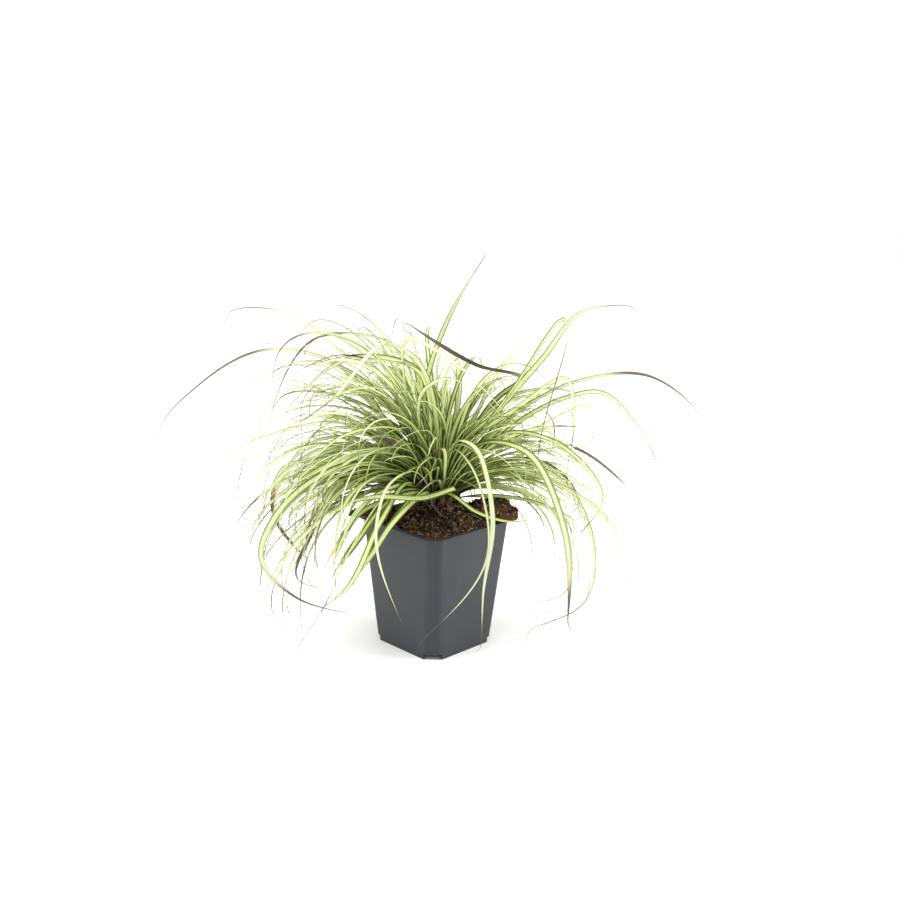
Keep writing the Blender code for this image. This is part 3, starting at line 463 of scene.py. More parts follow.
def rings_to_solid(name, rings):
    return in_scene(name, mesh_of(name, *closed_skin(rings)))


def box(name, low, high):
    points = [(x, y, z) for x in (low[0], high[0]) for y in (low[1], high[1])
              for z in (low[2], high[2])]
    faces = [(0, 1, 3, 2), (4, 6, 7, 5), (0, 4, 5, 1), (2, 3, 7, 6), (0, 2, 6, 4), (1, 5, 7, 3)]
    return in_scene(name, mesh_of(name, points, faces))


def round_post(name, x, y, radius, low, high, sides):
    return rings_to_solid(name, [circle(x, y, radius, z, sides) for z in (low, high)])


def combine(body, pieces, operation):
    """Join or cut one body with many pieces, then drop the pieces."""
    group = bpy.data.collections.new(body.name + "_pieces")
    bpy.context.scene.collection.children.link(group)
    for piece in pieces:
        for home in list(piece.users_collection):
            home.objects.unlink(piece)
        group.objects.link(piece)
        piece.hide_render = True
        piece.display_type = "WIRE"
    cut = body.modifiers.new(operation.lower(), "BOOLEAN")
    cut.operand_type = "COLLECTION"
    cut.collection = group
    cut.operation = operation
    cut.solver = "EXACT"
    bpy.context.view_layer.update()
    graph = bpy.context.evaluated_depsgraph_get()
    result = bpy.data.meshes.new_from_object(body.evaluated_get(graph))
    body.modifiers.clear()
    old = body.data
    body.data = result
    result.name = old.name
    bpy.data.meshes.remove(old)
    for piece in pieces:
        bpy.data.objects.remove(piece, do_unlink=True)
    bpy.data.collections.remove(group)


def pot_rings(ring):
    """Rings of the pot's wall: down inside its foot, up outside, and down inside.

    The ring function makes one from a half width, a corner cut and a height.
    """
    top = POT_HEIGHT
    lip_low = top - LIP_THICK
    inner = [
        ring(pot_half(FLOOR_UNDER) - WALL, pot_cut(FLOOR_UNDER) - WALL * 0.6, FLOOR_UNDER),
        ring(pot_half(0) - WALL, pot_cut(0) - WALL * 0.6, 0),
    ]
    outer = [
        ring(pot_half(0), pot_cut(0), 0),
        ring(pot_half(top * 0.5), pot_cut(top * 0.5), top * 0.5),
        ring(pot_half(lip_low - 1.2 * MM), pot_cut(lip_low), lip_low - 1.2 * MM),
        ring(LIP_HALF - 0.5 * MM, CORNER_CUT_TOP, lip_low),
        ring(LIP_HALF, CORNER_CUT_TOP, lip_low + 0.5 * MM),
        ring(LIP_HALF, CORNER_CUT_TOP, top - 0.4 * MM),
        ring(LIP_HALF - 0.5 * MM, CORNER_CUT_TOP, top),
    ]
    inside = [
        ring(pot_half(top) - WALL + 0.3 * MM, CORNER_CUT_TOP - WALL * 0.6, top),
        ring(pot_half(top) - WALL, CORNER_CUT_TOP - WALL * 0.6, top - 0.6 * MM),
        ring(pot_half(FLOOR_TOP) - WALL, pot_cut(FLOOR_TOP) - WALL * 0.6, FLOOR_TOP),
    ]
    return inner + outer + inside


def add_supports(pot):
    """Boss and ribs under the floor."""
    sunk = FLOOR_UNDER + 0.5 * MM
    supports = [round_post("boss", 0, 0, BOSS_RADIUS, 0, sunk, 16)]
    reach = pot_half(0) - WALL * 0.5
    for along_x in (True, False):
        for side in (-1, 1):
            span = sorted((side * BOSS_RADIUS * 0.8, side * reach))
            across = (-RIB_WIDTH / 2, RIB_WIDTH / 2)
            low = (span[0], across[0], RIB_CLEAR) if along_x else (across[0], span[0], RIB_CLEAR)
            high = (span[1], across[1], sunk) if along_x else (across[1], span[1], sunk)
            supports.append(box("rib", low, high))
    combine(pot, supports, "UNION")


def cut_openings(pot):
    """Drain holes on the diagonals, and the notch under each cut corner."""
    cutters = []
    for sx in (-1, 1):
        for sy in (-1, 1):
            for place, radius in DRAINS:
                cutters.append(round_post("drain", sx * place, sy * place, radius,
                                          FLOOR_UNDER - 2 * MM, FLOOR_TOP + 2 * MM, 10))
            near = WALL_FOOT_HALF - CORNER_CUT_FOOT - NOTCH_PAST_CORNER
            far = WALL_FOOT_HALF + 10 * MM
            xs = sorted((sx * near, sx * far))
            ys = sorted((sy * near, sy * far))
            cutters.append(box("notch", (xs[0], ys[0], -5 * MM), (xs[1], ys[1], NOTCH_HEIGHT)))
    combine(pot, cutters, "DIFFERENCE")


def inner_radius(bearing, z, spare):
    """Distance from the middle to the pot's inner side, less a spare gap."""
    half = pot_half(z) - WALL - spare
    cut = pot_cut(z) - WALL * 0.6 + spare * 0.4
    x = abs(math.cos(bearing))
    y = abs(math.sin(bearing))
    flat = half / max(x, y)
    corner = (2 * half - cut) / (x + y)
    return min(flat, corner)


def lump_at(bearing):
    """Share of a lump at a bearing, of its overhang and of its lift off the rim."""
    found = (0.0, 0.0, 0.0, 0.0)
    for middle, spread, overhang, height in LUMPS:
        away = abs(math.remainder(bearing - middle, 2 * math.pi)) / spread
        lift = 1.0 - ease(away, 1.05, 1.5)
        if lift > found[0]:
            over = overhang * (1.0 - ease(away, 0.25, 0.78))
            found = (lift, over, height * (1.0 - ease(away, 0.40, 1.0)), over / overhang)
    return found


def soil_roughness(x, y):
    """Low irregular waves over the soil, about a millimetre either way."""
    a = math.sin(x * 310 + 1.3) * math.cos(y * 270 - 0.4)
    b = math.sin((x + y) * 520 + 2.1) * math.sin((x - y) * 430 + 0.7)
    c = math.sin(x * 905 - y * 640)
    return (0.7 * a + 0.5 * b + 0.25 * c) * MM


def soil_height(x, y):
    """Height of the soil's surface inside the rim, away from the lumps."""
    out = clamp(math.hypot(x - CROWN[0], y - CROWN[1]) / (42 * MM))
    rise = MOUND * (1.0 - ease(out, 0.05, 1.0))
    return POT_HEIGHT - FILL_BELOW_RIM + rise + soil_roughness(x, y)


def soil_column(bearing, shares):
    """Distance and height of each soil row at one bearing, from the floor up."""
    lift, over, height, spread = lump_at(bearing)
    over *= 1.0 + 0.16 * math.sin(bearing * 11 + 0.8) + 0.10 * math.sin(bearing * 23)
    edge = inner_radius(bearing, POT_HEIGHT, GAP + 0.3 * MM)
    floor_z = FLOOR_TOP + GAP
    neck_z = mix(POT_HEIGHT - FILL_BELOW_RIM - 1.5 * MM, POT_HEIGHT + GAP, lift)
    neck_r = inner_radius(bearing, min(neck_z, POT_HEIGHT), GAP + 0.3 * MM)
    rows = [
        (inner_radius(bearing, floor_z, GAP), floor_z),
        (inner_radius(bearing, POT_HEIGHT * 0.55, GAP), POT_HEIGHT * 0.55),
        (neck_r, neck_z),
        (edge + over, neck_z + 0.5 * MM + 0.5 * MM * spread),
    ]
    for t in shares:
        reach = edge * t + over * t ** 3
        x = reach * math.cos(bearing)
        y = reach * math.sin(bearing)
        z = soil_height(x, y)
        bank = height * (ease(t, 0.42, 0.80) - 0.45 * ease(t, 0.86, 1.0))
        bank *= 1.0 + 0.14 * math.sin(bearing * 17 + t * 9)
        z += max(0.0, bank)
        if reach > edge - 1.0 * MM:
            z = max(z, neck_z + 1.6 * MM)
        if t == 1.0:
            reach -= 0.8 * MM
        rows.append((reach, z))
    return rows


def soil_rings(turns, shares, relief=None):
    """Rings of the soil from the floor up; relief roughens the upper ones."""
    bearings = []
    for i in range(turns):
        turn = 2 * math.pi * i / turns
        bearings.append(turn - CORNER_CROWDING * math.sin(2 * (turn - CORNER)))
    columns = [soil_column(bearing, shares) for bearing in bearings]
    rings = []
    for level in range(len(columns[0])):
        ring = []
        for bearing, column in zip(bearings, columns):
            reach, z = column[level]
            point = Vector((reach * math.cos(bearing), reach * math.sin(bearing), z))
            if relief and level >= FIRST_ROUGH_ROW:
                point += relief(point, level)
            ring.append(point)
        rings.append(ring)
    return rings


def soil_middle():
    """The soil's top point, under the crown."""
    return Vector((CROWN[0], CROWN[1], soil_height(*CROWN)))


# Leaf blades


def evenly(points, count):
    """The same run of points, spaced evenly along its length."""
    reached = [0.0]
    for a, b in zip(points, points[1:]):
        reached.append(reached[-1] + (b - a).length)
    total = reached[-1]
    result = []
    i = 0
    for k in range(count + 1):
        want = total * k / count
        while i < len(points) - 2 and reached[i + 1] < want:
            i += 1
        span = max(reached[i + 1] - reached[i], 1e-9)
        result.append(points[i].lerp(points[i + 1], clamp((want - reached[i]) / span)))
    return result


def drawn_line(root, leave, points):
    """A smooth centre line from a shoot through a leading blade's points."""
    knots = [root] + points
    gaps = [(b - a).length for a, b in zip(knots, knots[1:])]
    ways = [leave.normalized()]
    for i in range(1, len(knots) - 1):
        before = (knots[i] - knots[i - 1]) / gaps[i - 1]
        after = (knots[i + 1] - knots[i]) / gaps[i]
        ways.append((before * gaps[i] + after * gaps[i - 1]) / (gaps[i - 1] + gaps[i]))
    ways.append((knots[-1] - knots[-2]) / gaps[-1] * 1.5 - ways[-1] * 0.5)
    line = [root]
    for i, gap in enumerate(gaps):
        handles = (knots[i] + ways[i] * gap / 3, knots[i + 1] - ways[i + 1] * gap / 3)
        line.extend(interpolate_bezier(knots[i], *handles, knots[i + 1], CURVE_POINTS)[1:])
    return evenly(line, FINE_STEPS)


def grown_line(root, bearing, rise, fall, length, sweep, stiff, curl):
    """A centre line that leaves at one slope and bends over to another."""
    step = length / FINE_STEPS
    line = [root]
    for i in range(FINE_STEPS):
        s = (i + 0.5) / FINE_STEPS
        slope = mix(rise, fall, s ** stiff) - curl * ease(s, 0.80, 1.0)
        way = bearing + sweep * s * s
        level = math.cos(slope)
        ahead = Vector((level * math.cos(way), level * math.sin(way), math.sin(slope)))
        line.append(line[-1] + ahead * step)
    return line


def across_line(line, roll, twist):
    """Unit vectors along, across and out of the upper face, at each fine point.

    A positive roll turns the upper face towards the pot's front corner.
    """
    outward = line[len(line) // 2] - line[0]
    side = Vector((-outward.y, outward.x, 0.0)).normalized()
    roll *= -(side.x * math.cos(FRONT) + side.y * math.sin(FRONT))
    frames = []
    last = len(line) - 1
    for i in range(len(line)):
        ahead = (line[min(i + 1, last)] - line[max(i - 1, 0)]).normalized()
        side = (side - ahead * side.dot(ahead)).normalized()
        angle = roll * ease(i / last, 0.0, 0.25) + twist * i / last
        up = ahead.cross(side)
        turned = side * math.cos(angle) + up * math.sin(angle)
        frames.append((ahead, turned, ahead.cross(turned)))
    return frames


def width_share(s):
    """Share of the full width at a share of the length."""
    swell = mix(0.50, 1.0, ease(s, 0.0, 0.26))
    taper = mix(1.0, 0.14, ease(s, 0.42, 1.06) ** 1.1)
    return swell * taper


class Blade:
    """One leaf blade: its centre line, how it lies, and its width."""

    def __init__(self, line, width, roll, twist):
        self.line = line
        self.lead = None
        self.look = None
        self.width = width
        self.frames = across_line(line, roll, twist)
        self.length = (line[1] - line[0]).length * FINE_STEPS
        long = ease(self.length, SHORT_BLADE, LONG_BLADE)
        self.rows = self.stations(round(mix(*ROWS_BY_LENGTH, long)))

    def section(self, i):
        """Centre, side and upper directions, width and depth at a fine point."""
        s = i / FINE_STEPS
        width = max(NARROWEST, self.width * width_share(s))
        depth = mix(KEEL_DEPTH, KEEL_DEPTH_TIP, ease(s, 0.3, 1.0))
        depth = max(KEEL_DEPTH_TIP, min(depth, width * 0.62))
        _, side, up = self.frames[i]
        return self.line[i], side, up, width, depth

    def stations(self, count):
        """Fine points to keep: one past the root, then closer where the line bends."""
        past_root = max(1, round(ROOT_RUN / self.length * FINE_STEPS))
        reached = [0.0]
        for i in range(1, FINE_STEPS + 1):
            bend = self.frames[i][0].angle(self.frames[i - 1][0])
            reached.append(reached[-1] + 1.0 / FINE_STEPS + bend * 0.9)
        begin = reached[past_root]
        chosen = [0, past_root]
        for k in range(1, count):
            want = mix(begin, reached[-1], k / count)
            i = min(range(FINE_STEPS), key=lambda j: abs(reached[j] - want))
            if i > chosen[-1]:
                chosen.append(i)
        chosen.append(FINE_STEPS)
        return chosen

    def envelope(self, spare, first):
        """A loose square sleeve round the blade, used to keep blades apart."""
        points = []
        rows = self.rows[first:]
        for i in rows:
            centre, side, up, width, depth = self.section(i)
            half = width / 2 + spare
            low = -depth - spare
            for across, rise in ((-1, spare), (1, spare), (1, low), (-1, low)):
                points.append(centre + side * (across * half) + up * rise)
        return BVHTree.FromPolygons(points, bands(0, 4, len(rows)))

    def meets(self, skins):
        return any(self.envelope(CLEARANCE, 0).overlap(skin) for skin in skins)


class Tuft:
    """All the blades, with the sleeves that keep one shoot clear of another."""

    def __init__(self, stems, walls):
        self.stems = stems
        self.blades = [[] for _ in stems]
        self.sleeves = []
        self.walls = walls
        self.stem_posts = [stem_sleeve(x, y, foot) for x, y, foot, _ in stems]

    def root(self, shoot, level, draw):
        """Start of a blade near the stem's axis, level from 0 low to 1 high."""
        x, y, foot, _ = self.stems[shoot]
        x += draw.uniform(-ROOT_LOOSE, ROOT_LOOSE)
        y += draw.uniform(-ROOT_LOOSE, ROOT_LOOSE)
        rise = mix(ROOT_OVER_SOIL, STEM_TALL / MM - ROOT_UNDER_TOP, level)
        return Vector((x, y, foot + STEM_SUNK + rise * MM))

    def is_clear(self, blade, shoot):
        if min(point.z for point in blade.line) < LOWEST:
            return False
        whole = blade.envelope(CLEARANCE, 0)
        if any(whole.overlap(wall) for wall in self.walls):
            return False
        for other, post in enumerate(self.stem_posts):
            if other != shoot and whole.overlap(post):
                return False
        outer = blade.envelope(CLEARANCE * 0.5, 1)
        for other, sleeve, outer_sleeve in self.sleeves:
            if other == shoot:
                if outer.overlap(outer_sleeve):
                    return False
            elif whole.overlap(sleeve):
                return False
        return True

    def add(self, shoot, blade):
        self.blades[shoot].append(blade)
        self.sleeves.append((shoot, blade.envelope(0.02 * MM, 0), blade.envelope(0.02 * MM, 1)))


def stem_sleeve(x, y, foot):
    """Upright sleeve round a stem, as high as the stem stands."""
    points = []
    for z in (foot, foot + STEM_SUNK + STEM_TALL):
        points.extend(circle(x, y, STEM_RADIUS, z, STEM_SIDES))
    top = ends(0, STEM_SIDES, 2)[1]
    return BVHTree.FromPolygons(points, bands(0, STEM_SIDES, 2) + [top])


def stem_places():
    """Axis, foot height and own lean of each stem, from the middle outward."""
    places = []
    for ring, (count, reach, lean) in enumerate(RINGS):
        for i in range(count):
            angle = 2 * math.pi * (i + 0.5 * ring) / count
            x = CROWN[0] + reach * math.cos(angle)
            y = CROWN[1] + reach * math.sin(angle)
            home = Vector((math.cos(angle) * math.sin(math.radians(lean)),
                           math.sin(angle) * math.sin(math.radians(lean)),
                           math.cos(math.radians(lean))))
            places.append((x, y, soil_height(x, y) - STEM_SUNK, home))
    return places


def dry_places():
    places = []
    for degrees, reach in DRY_STEMS:
        angle = math.radians(degrees)
        x = CROWN[0] + reach * math.cos(angle)
        y = CROWN[1] + reach * math.sin(angle)
        home = Vector((math.cos(angle), math.sin(angle), 0.8)).normalized()
        places.append((x, y, soil_height(x, y) - STEM_SUNK, home))
    return places


def leans_to(stem, target):
    """How well a stem's own lean points at a target, 1 at best."""
    x, y, foot, home = stem
    return (target - Vector((x, y, foot + STEM_SUNK))).normalized().dot(home)


def best_shoot(tuft, target, shoots):
    """The shoot whose own lean points best at a target and is not yet full."""
    def score(shoot):
        return leans_to(tuft.stems[shoot], target) - FULL_SHOOT_COST * len(tuft.blades[shoot])
    return max(shoots, key=score)


def leaving(stem, root, target):
    """The way in which a blade leaves its shoot: between its lean, the target and up."""
    way = (target - root).normalized()
    return stem[3] * LEAVE_AHEAD + way * LEAVE_AHEAD + Vector((0, 0, LEAVE_UP))


def nudged(points, reach, draw):
    return [
        point + Vector((draw.uniform(-1, 1), draw.uniform(-1, 1), draw.uniform(-1, 1))) * reach
        for point in points
    ]


def place_leading(tuft, shoots, draw):
    """Set the leading blades, each nudged a little until it stands clear."""
    for number, (width, look, *points) in enumerate(LEADING_BLADES):
        knots = [from_view(*point) for point in points]
        shoot = best_shoot(tuft, knots[0], shoots)
        for attempt in range(TRIES * 2):
            root = tuft.root(shoot, draw.uniform(0.0, 1.0), draw)
            route = nudged(knots, NUDGE * attempt / 12, draw)
            line = drawn_line(root, leaving(tuft.stems[shoot], root, route[0]), route)
            blade = Blade(line, width * MM, draw.uniform(0.5, 0.9), draw.uniform(-0.5, 0.5))
            if tuft.is_clear(blade, shoot):
                blade.lead = number
                blade.look = look
                tuft.add(shoot, blade)
                break
            if attempt % 10 == 9:
                order = sorted(shoots, key=lambda k: -leans_to(tuft.stems[k], knots[0]))
                shoot = order[(attempt // 10) % 6]


def habit(bearing, lean, level, draw):
    """Rise, fall, length, sweep and stiffness of a rule-grown blade.

    The tuft is combed: long arches to the left, shorter ones to the right,
    and only short upright blades before the crown, where the soil is bare.
    """
    turn = math.remainder(bearing - FRONT, 2 * math.pi)
    facing = math.cos(turn)
    rightness = math.sin(turn)
    inner = lean < math.radians(30)
    if inner:
        rise = math.radians(draw.uniform(72, 89) - 36 * lean)
        fall = math.radians(draw.uniform(-90, 0))
        length = draw.uniform(14.0, 20.5) - 2.5 * rightness
        stiff = draw.uniform(1.4, 2.8)
    else:
        rise = math.pi / 2 - lean * draw.uniform(0.5, 1.4) - math.radians(draw.uniform(2, 14))
        rise += math.radians(mix(-8, 6, level))
        fall = math.radians(draw.uniform(-105, -45))
        length = draw.uniform(13.0, 20.5) - 3.5 * rightness * draw.uniform(0.4, 1.0)
        stiff = draw.uniform(0.9, 1.9)
    sweep = draw.uniform(-0.9, 0.9)
    if facing > 0.35:
        rise = max(rise, math.radians(draw.uniform(55, 76)))
        length = draw.uniform(8.0, 14.0)
        away = -1.0 if turn < 0.35 else 1.0
        sweep = away * draw.uniform(0.3, 1.4)
        fall = math.radians(draw.uniform(-50, 10))
    return rise, fall, length * CM, sweep, stiff


def stays_in_tuft(line):
    """Rule-grown blades keep inside the long leading arches."""
    for point in line:
        right = (point.x + point.y) * math.sqrt(0.5)
        if right < -GROWN_LEFT or right > GROWN_RIGHT or point.z > GROWN_TOP:
            return False
    return True


def fill_shoot(tuft, shoot, wanted, draw):
    """Grow blades by rule on one shoot until it carries the wanted number."""
    home = tuft.stems[shoot][3]
    lean = math.acos(clamp(home.z))
    outward = math.atan2(home.y, home.x)
    ranks = (0.0, 1.0, -1.0)
    fan = math.radians(mix(120, 34, clamp(lean / math.radians(40))))
    start = len(tuft.blades[shoot])
    for k in range(start, wanted):
        level = k / (wanted - 1)
        for _ in range(TRIES):
            bearing = outward + ranks[k % 3] * fan * draw.uniform(0.4, 1.0)
            bearing += draw.uniform(-0.25, 0.25)
            rise, fall, length, sweep, stiff = habit(bearing, lean, level, draw)
            thin = draw.random() < 0.2
            width = draw.uniform(1.6, 2.6) if thin else draw.uniform(3.2, 5.4)
            curl = draw.uniform(0.0, 1.3) * (draw.random() < 0.5)
            root = tuft.root(shoot, clamp(level + draw.uniform(-0.1, 0.1)), draw)
            line = grown_line(root, bearing, rise, fall, length, sweep, stiff, curl)
            blade = Blade(line, width * MM, draw.uniform(-0.1, 1.1), draw.uniform(-0.6, 0.6))
            if stays_in_tuft(line) and tuft.is_clear(blade, shoot):
                tuft.add(shoot, blade)
                break


def fill_dry(tuft, shoot, wanted, draw):
    """Short, low, slumped blades on a dead shoot."""
    home = tuft.stems[shoot][3]
    outward = math.atan2(home.y, home.x)
    for k in range(wanted):
        for _ in range(TRIES * 2):
            bearing = outward + draw.uniform(-0.9, 0.9)
            rise = math.radians(draw.uniform(25, 60))
            fall = math.radians(draw.uniform(-95, -40))
            line = grown_line(tuft.root(shoot, k / wanted, draw), bearing, rise, fall,
                              draw.uniform(9, 15) * CM, draw.uniform(-1.2, 1.2),
                              draw.uniform(0.7, 1.2), draw.uniform(0.3, 1.6))
            blade = Blade(line, draw.uniform(2.2, 3.6) * MM, 0.5, draw.uniform(-1.5, 1.5))
            if tuft.is_clear(blade, shoot):
                tuft.add(shoot, blade)
                break


def walls():
    """The pot's and the soil's skins, which the blades keep clear of."""
    soil = soil_rings(SOIL_TURNS, SOIL_SHARES)
    soil.append([soil_middle()] * SOIL_TURNS)
    return [BVHTree.FromPolygons(*ring_skin(rings)) for rings in (pot_rings(cut_square), soil)]


def grow_tuft(stems, skins, draw):
    """All blades, in the order in which the solids were grown."""
    tuft = Tuft(stems, skins)
    shoots = list(range(len(stem_places())))
    place_leading(tuft, shoots, draw)
    for k in range(len(DRY_STEMS)):
        fill_dry(tuft, len(shoots) + k, 3, draw)
    for shoot in shoots:
        fill_shoot(tuft, shoot, BLADES_PER_SHOOT, draw)
    return tuft


# Materials


class Wire:
    """A socket inside a material. Arithmetic on wires adds Math nodes to it."""

    def __init__(self, finish, socket):
        self.finish = finish
        self.socket = socket

    def math(self, operation, *values):
        return self.finish.math(operation, self, *values)

    def __add__(self, other):
        return self.math("ADD", other)

    def __radd__(self, other):
        return self.math("ADD", other)

    def __mul__(self, other):
        return self.math("MULTIPLY", other)

    def __rmul__(self, other):
        return self.math("MULTIPLY", other)

    def __sub__(self, other):
        return self.math("SUBTRACT", other)

    def __rsub__(self, other):
        return self.finish.math("SUBTRACT", other, self)


class Finish:
    """One material: its Principled shader and the nodes that feed it."""

    def __init__(self, name, **constants):
        self.material = bpy.data.materials.new(name)
        self.material.use_nodes = True
        self.tree = self.material.node_tree
        self.shader = self.tree.nodes["Principled BSDF"]
        for socket, value in constants.items():
            self.shader.inputs[socket.replace("_", " ")].default_value = value

    def node(self, kind, settings, values, output=0):
        """Add a node, with its settings first and then its sockets, and give one output."""
        node = self.tree.nodes.new(kind)
        for key, value in settings.items():
            setattr(node, key, value)
        for key, value in values.items():
            if isinstance(value, Wire):
                self.tree.links.new(value.socket, node.inputs[key])
            else:
                node.inputs[key].default_value = value
        return Wire(self, node.outputs[output])

    def feed(self, socket, wire):
        self.tree.links.new(wire.socket, self.shader.inputs[socket])

    def math(self, operation, *values):
        return self.node("ShaderNodeMath", {"operation": operation}, dict(enumerate(values)))

    def parts(self, vector):
        """The first two values of a vector."""
        split = self.node("ShaderNodeSeparateXYZ", {}, {0: vector})
        return split, Wire(self, split.socket.node.outputs[1])

    def pair(self, name):
        """Both values of a UV map."""
        return self.parts(self.node("ShaderNodeUVMap", {"uv_map": name}, {}))

    def point(self, x, y, z):
        return self.node("ShaderNodeCombineXYZ", {}, {0: x, 1: y, 2: z})

    def place(self):
        """The piece's own coordinates, in metres."""
        return self.node("ShaderNodeTexCoord", {}, {}, "Object")

    def noise(self, vector, scale, detail, roughness=0.55):
        values = {"Vector": vector, "Scale": scale, "Detail": detail, "Roughness": roughness}
        return self.node("ShaderNodeTexNoise", {}, values)

    def cells(self, vector, scale):
        """A random colour for each cell."""
        values = {"Vector": vector, "Scale": scale}
        return self.node("ShaderNodeTexVoronoi", {}, values, "Color")

    def fade(self, value, start, end):
        """Soft step from 0 at start to 1 at end."""
        settings = {"interpolation_type": "SMOOTHSTEP"}
        return self.node("ShaderNodeMapRange", settings, {0: value, 1: start, 2: end})

    def blend(self, share, first, second):
        """Mix two colours by a share."""
        values = {0: share, 6: colour_of(first), 7: colour_of(second)}
        return self.node("ShaderNodeMix", {"data_type": "RGBA"}, values, 2)

    def bump(self, height, distance, strength):
        """Raise a relief: what makes its height, its depth in metres and its strength."""
        values = {"Height": height, "Distance": distance, "Strength": strength}
        self.feed("Normal", self.node("ShaderNodeBump", {}, values))


def colour_of(value):
    return value if isinstance(value, Wire) else (*value, 1.0)


def leaf_finish():
    """Cream-yellow blade with green margins, fine veins and a browned tip."""
    finish = Finish("sedge_leaf", Roughness=0.46, Specular_IOR_Level=0.18)
    across, metres = finish.pair("blade")
    share, brown_from = finish.pair("tone")
    pale, mark = finish.pair("kind")
    out = (across * 2.0 - 1.0).math("ABSOLUTE")

    # Long streaks along the blade
    streak_at = finish.point(across * 9.0 + mark * 57.0, metres * 7.0, mark * 31.0)
    streaks = finish.noise(streak_at, 1.0, 3.0)
    vein_at = finish.point(across * 26.0 + mark * 91.0, metres * 10.0, mark * 13.0)
    veins = finish.noise(vein_at, 1.0, 2.0)
    near = 1.0 - finish.fade(metres, 0.025, 0.120)
    far = finish.fade(metres, 0.085, 0.220)

    # Green margins round a cream band whose width differs from blade to blade
    band = 0.25 + (mark * 7.0).math("FRACT") * 0.32 + pale * 0.36 + (streaks - 0.5) * 0.30
    margin = finish.fade(out - band, -0.05, 0.07)
    inner_line = finish.fade(veins, 0.54, 0.64) * (1.0 - pale * 0.35)
    cream = finish.blend(pale, STRAW, IVORY)
    cream = finish.blend(near * 0.55, cream, LIME)
    cream = finish.blend(inner_line * 0.75, cream, VEIN_GREEN)
    green = finish.blend(veins, DEEP_GREEN, GRASS_GREEN)
    green = finish.blend(pale * 0.22, green, SAGE)
    green = finish.blend(far * 0.30, green, OLD_SAGE)
    blade = finish.blend(margin, cream, green)

    # Painted shade of the crown: dark green low down, mostly on the margins. Purple-brown at the
    # foot, paler and greyer towards the tip
    low = 1.0 - finish.fade(metres, 0.016, 0.108)
    blade = finish.blend(low * (0.10 + margin * 0.84), blade, SHADED_GREEN)
    base = 1.0 - finish.fade(metres + (streaks - 0.5) * 0.020, 0.006, 0.032)
    blade = finish.blend(base * 0.92, blade, CROWN_PURPLE)
    blade = finish.blend(far * 0.52, blade, BLEACHED)

    # Brown, dry tip with a yellow edge, then a pale grey thread
    ragged = share - brown_from + (streaks - 0.5) * 0.08
    yellow = finish.fade(ragged, -0.10, 0.0)
    brown = finish.fade(ragged, -0.02, 0.06)
    dry = finish.blend(veins, DEAD_BROWN, DEAD_TAN)
    dry = finish.blend(finish.fade(ragged, 0.20, 0.50), dry, THREAD_GREY)
    blade = finish.blend(yellow * 0.6, blade, YELLOWED)
    blade = finish.blend(brown, blade, dry)
    finish.feed("Base Color", blade)
    finish.feed("Roughness", 0.38 + brown * 0.30 + streaks * 0.10)
    finish.bump(veins + streaks, 0.00010, 0.8)
    return finish.material


def dry_leaf_finish():
    """Dead blades and thread tips: grey-brown to reddish, with fine streaks."""
    finish = Finish("dry_leaf", Roughness=0.72, Specular_IOR_Level=0.15)
    across, metres = finish.pair("blade")
    pale, mark = finish.pair("kind")
    streak_at = finish.point(across * 12.0 + mark * 43.0, metres * 26.0, mark * 17.0)
    streaks = finish.noise(streak_at, 1.0, 4.0)
    patches = finish.noise(finish.point(mark * 80.0, metres * 60.0, 0.0), 1.0, 2.0)
    dark = finish.blend(streaks, (0.075, 0.036, 0.026), (0.30, 0.17, 0.10))
    light = finish.blend(streaks, (0.30, 0.24, 0.19), (0.62, 0.54, 0.42))
    paleness = finish.fade(pale + (patches - 0.5) * 0.9, 0.25, 0.85)
    finish.feed("Base Color", finish.blend(paleness, dark, light))
    finish.bump(streaks, 0.00015, 0.9)
    return finish.material


def sheath_finish():
    """Purple-brown leaf bases in the crown, greener at their tops."""
    finish = Finish("leaf_sheath", Roughness=0.55, Specular_IOR_Level=0.2)
    across, metres = finish.pair("blade")
    height, mark = finish.pair("tone")
    line_at = finish.point(across * 30.0 + mark * 40.0, metres * 30.0, mark)
    lines = finish.noise(line_at, 1.0, 3.0)
    low = finish.blend(lines, (0.030, 0.014, 0.012), (0.13, 0.060, 0.040))
    high = finish.blend(lines, (0.034, 0.050, 0.010), (0.12, 0.15, 0.035))
    greenness = finish.fade(height + (lines - 0.5) * 0.5, 0.45, 1.0)
    finish.feed("Base Color", finish.blend(greenness, low, high))
    finish.bump(lines, 0.0003, 0.9)
    return finish.material


def pot_finish():
    """Dark slate plastic, satin, with a faint moulded grain and a little dust."""
    finish = Finish("slate_plastic", Roughness=0.42, Specular_IOR_Level=0.28)
    place = finish.place()
    grain = finish.noise(place, 2600.0, 2.0)
    cloud = finish.noise(place, 38.0, 3.0)
    values = {"Vector": place, "Scale": (60.0, 60.0, 9.0)}
    smear = finish.noise(finish.node("ShaderNodeMapping", {}, values), 1.0, 4.0)
    dust = finish.fade(smear + cloud * 0.4, 0.72, 0.95)
    colour = finish.blend(cloud, (0.0230, 0.0248, 0.0290), (0.0320, 0.0340, 0.0390))
    finish.feed("Base Color", finish.blend(dust * 0.10, colour, (0.13, 0.125, 0.12)))
    finish.feed("Roughness", 0.36 + cloud * 0.12 + dust * 0.18)
    finish.bump(grain, 0.00004, 0.6)
    return finish.material


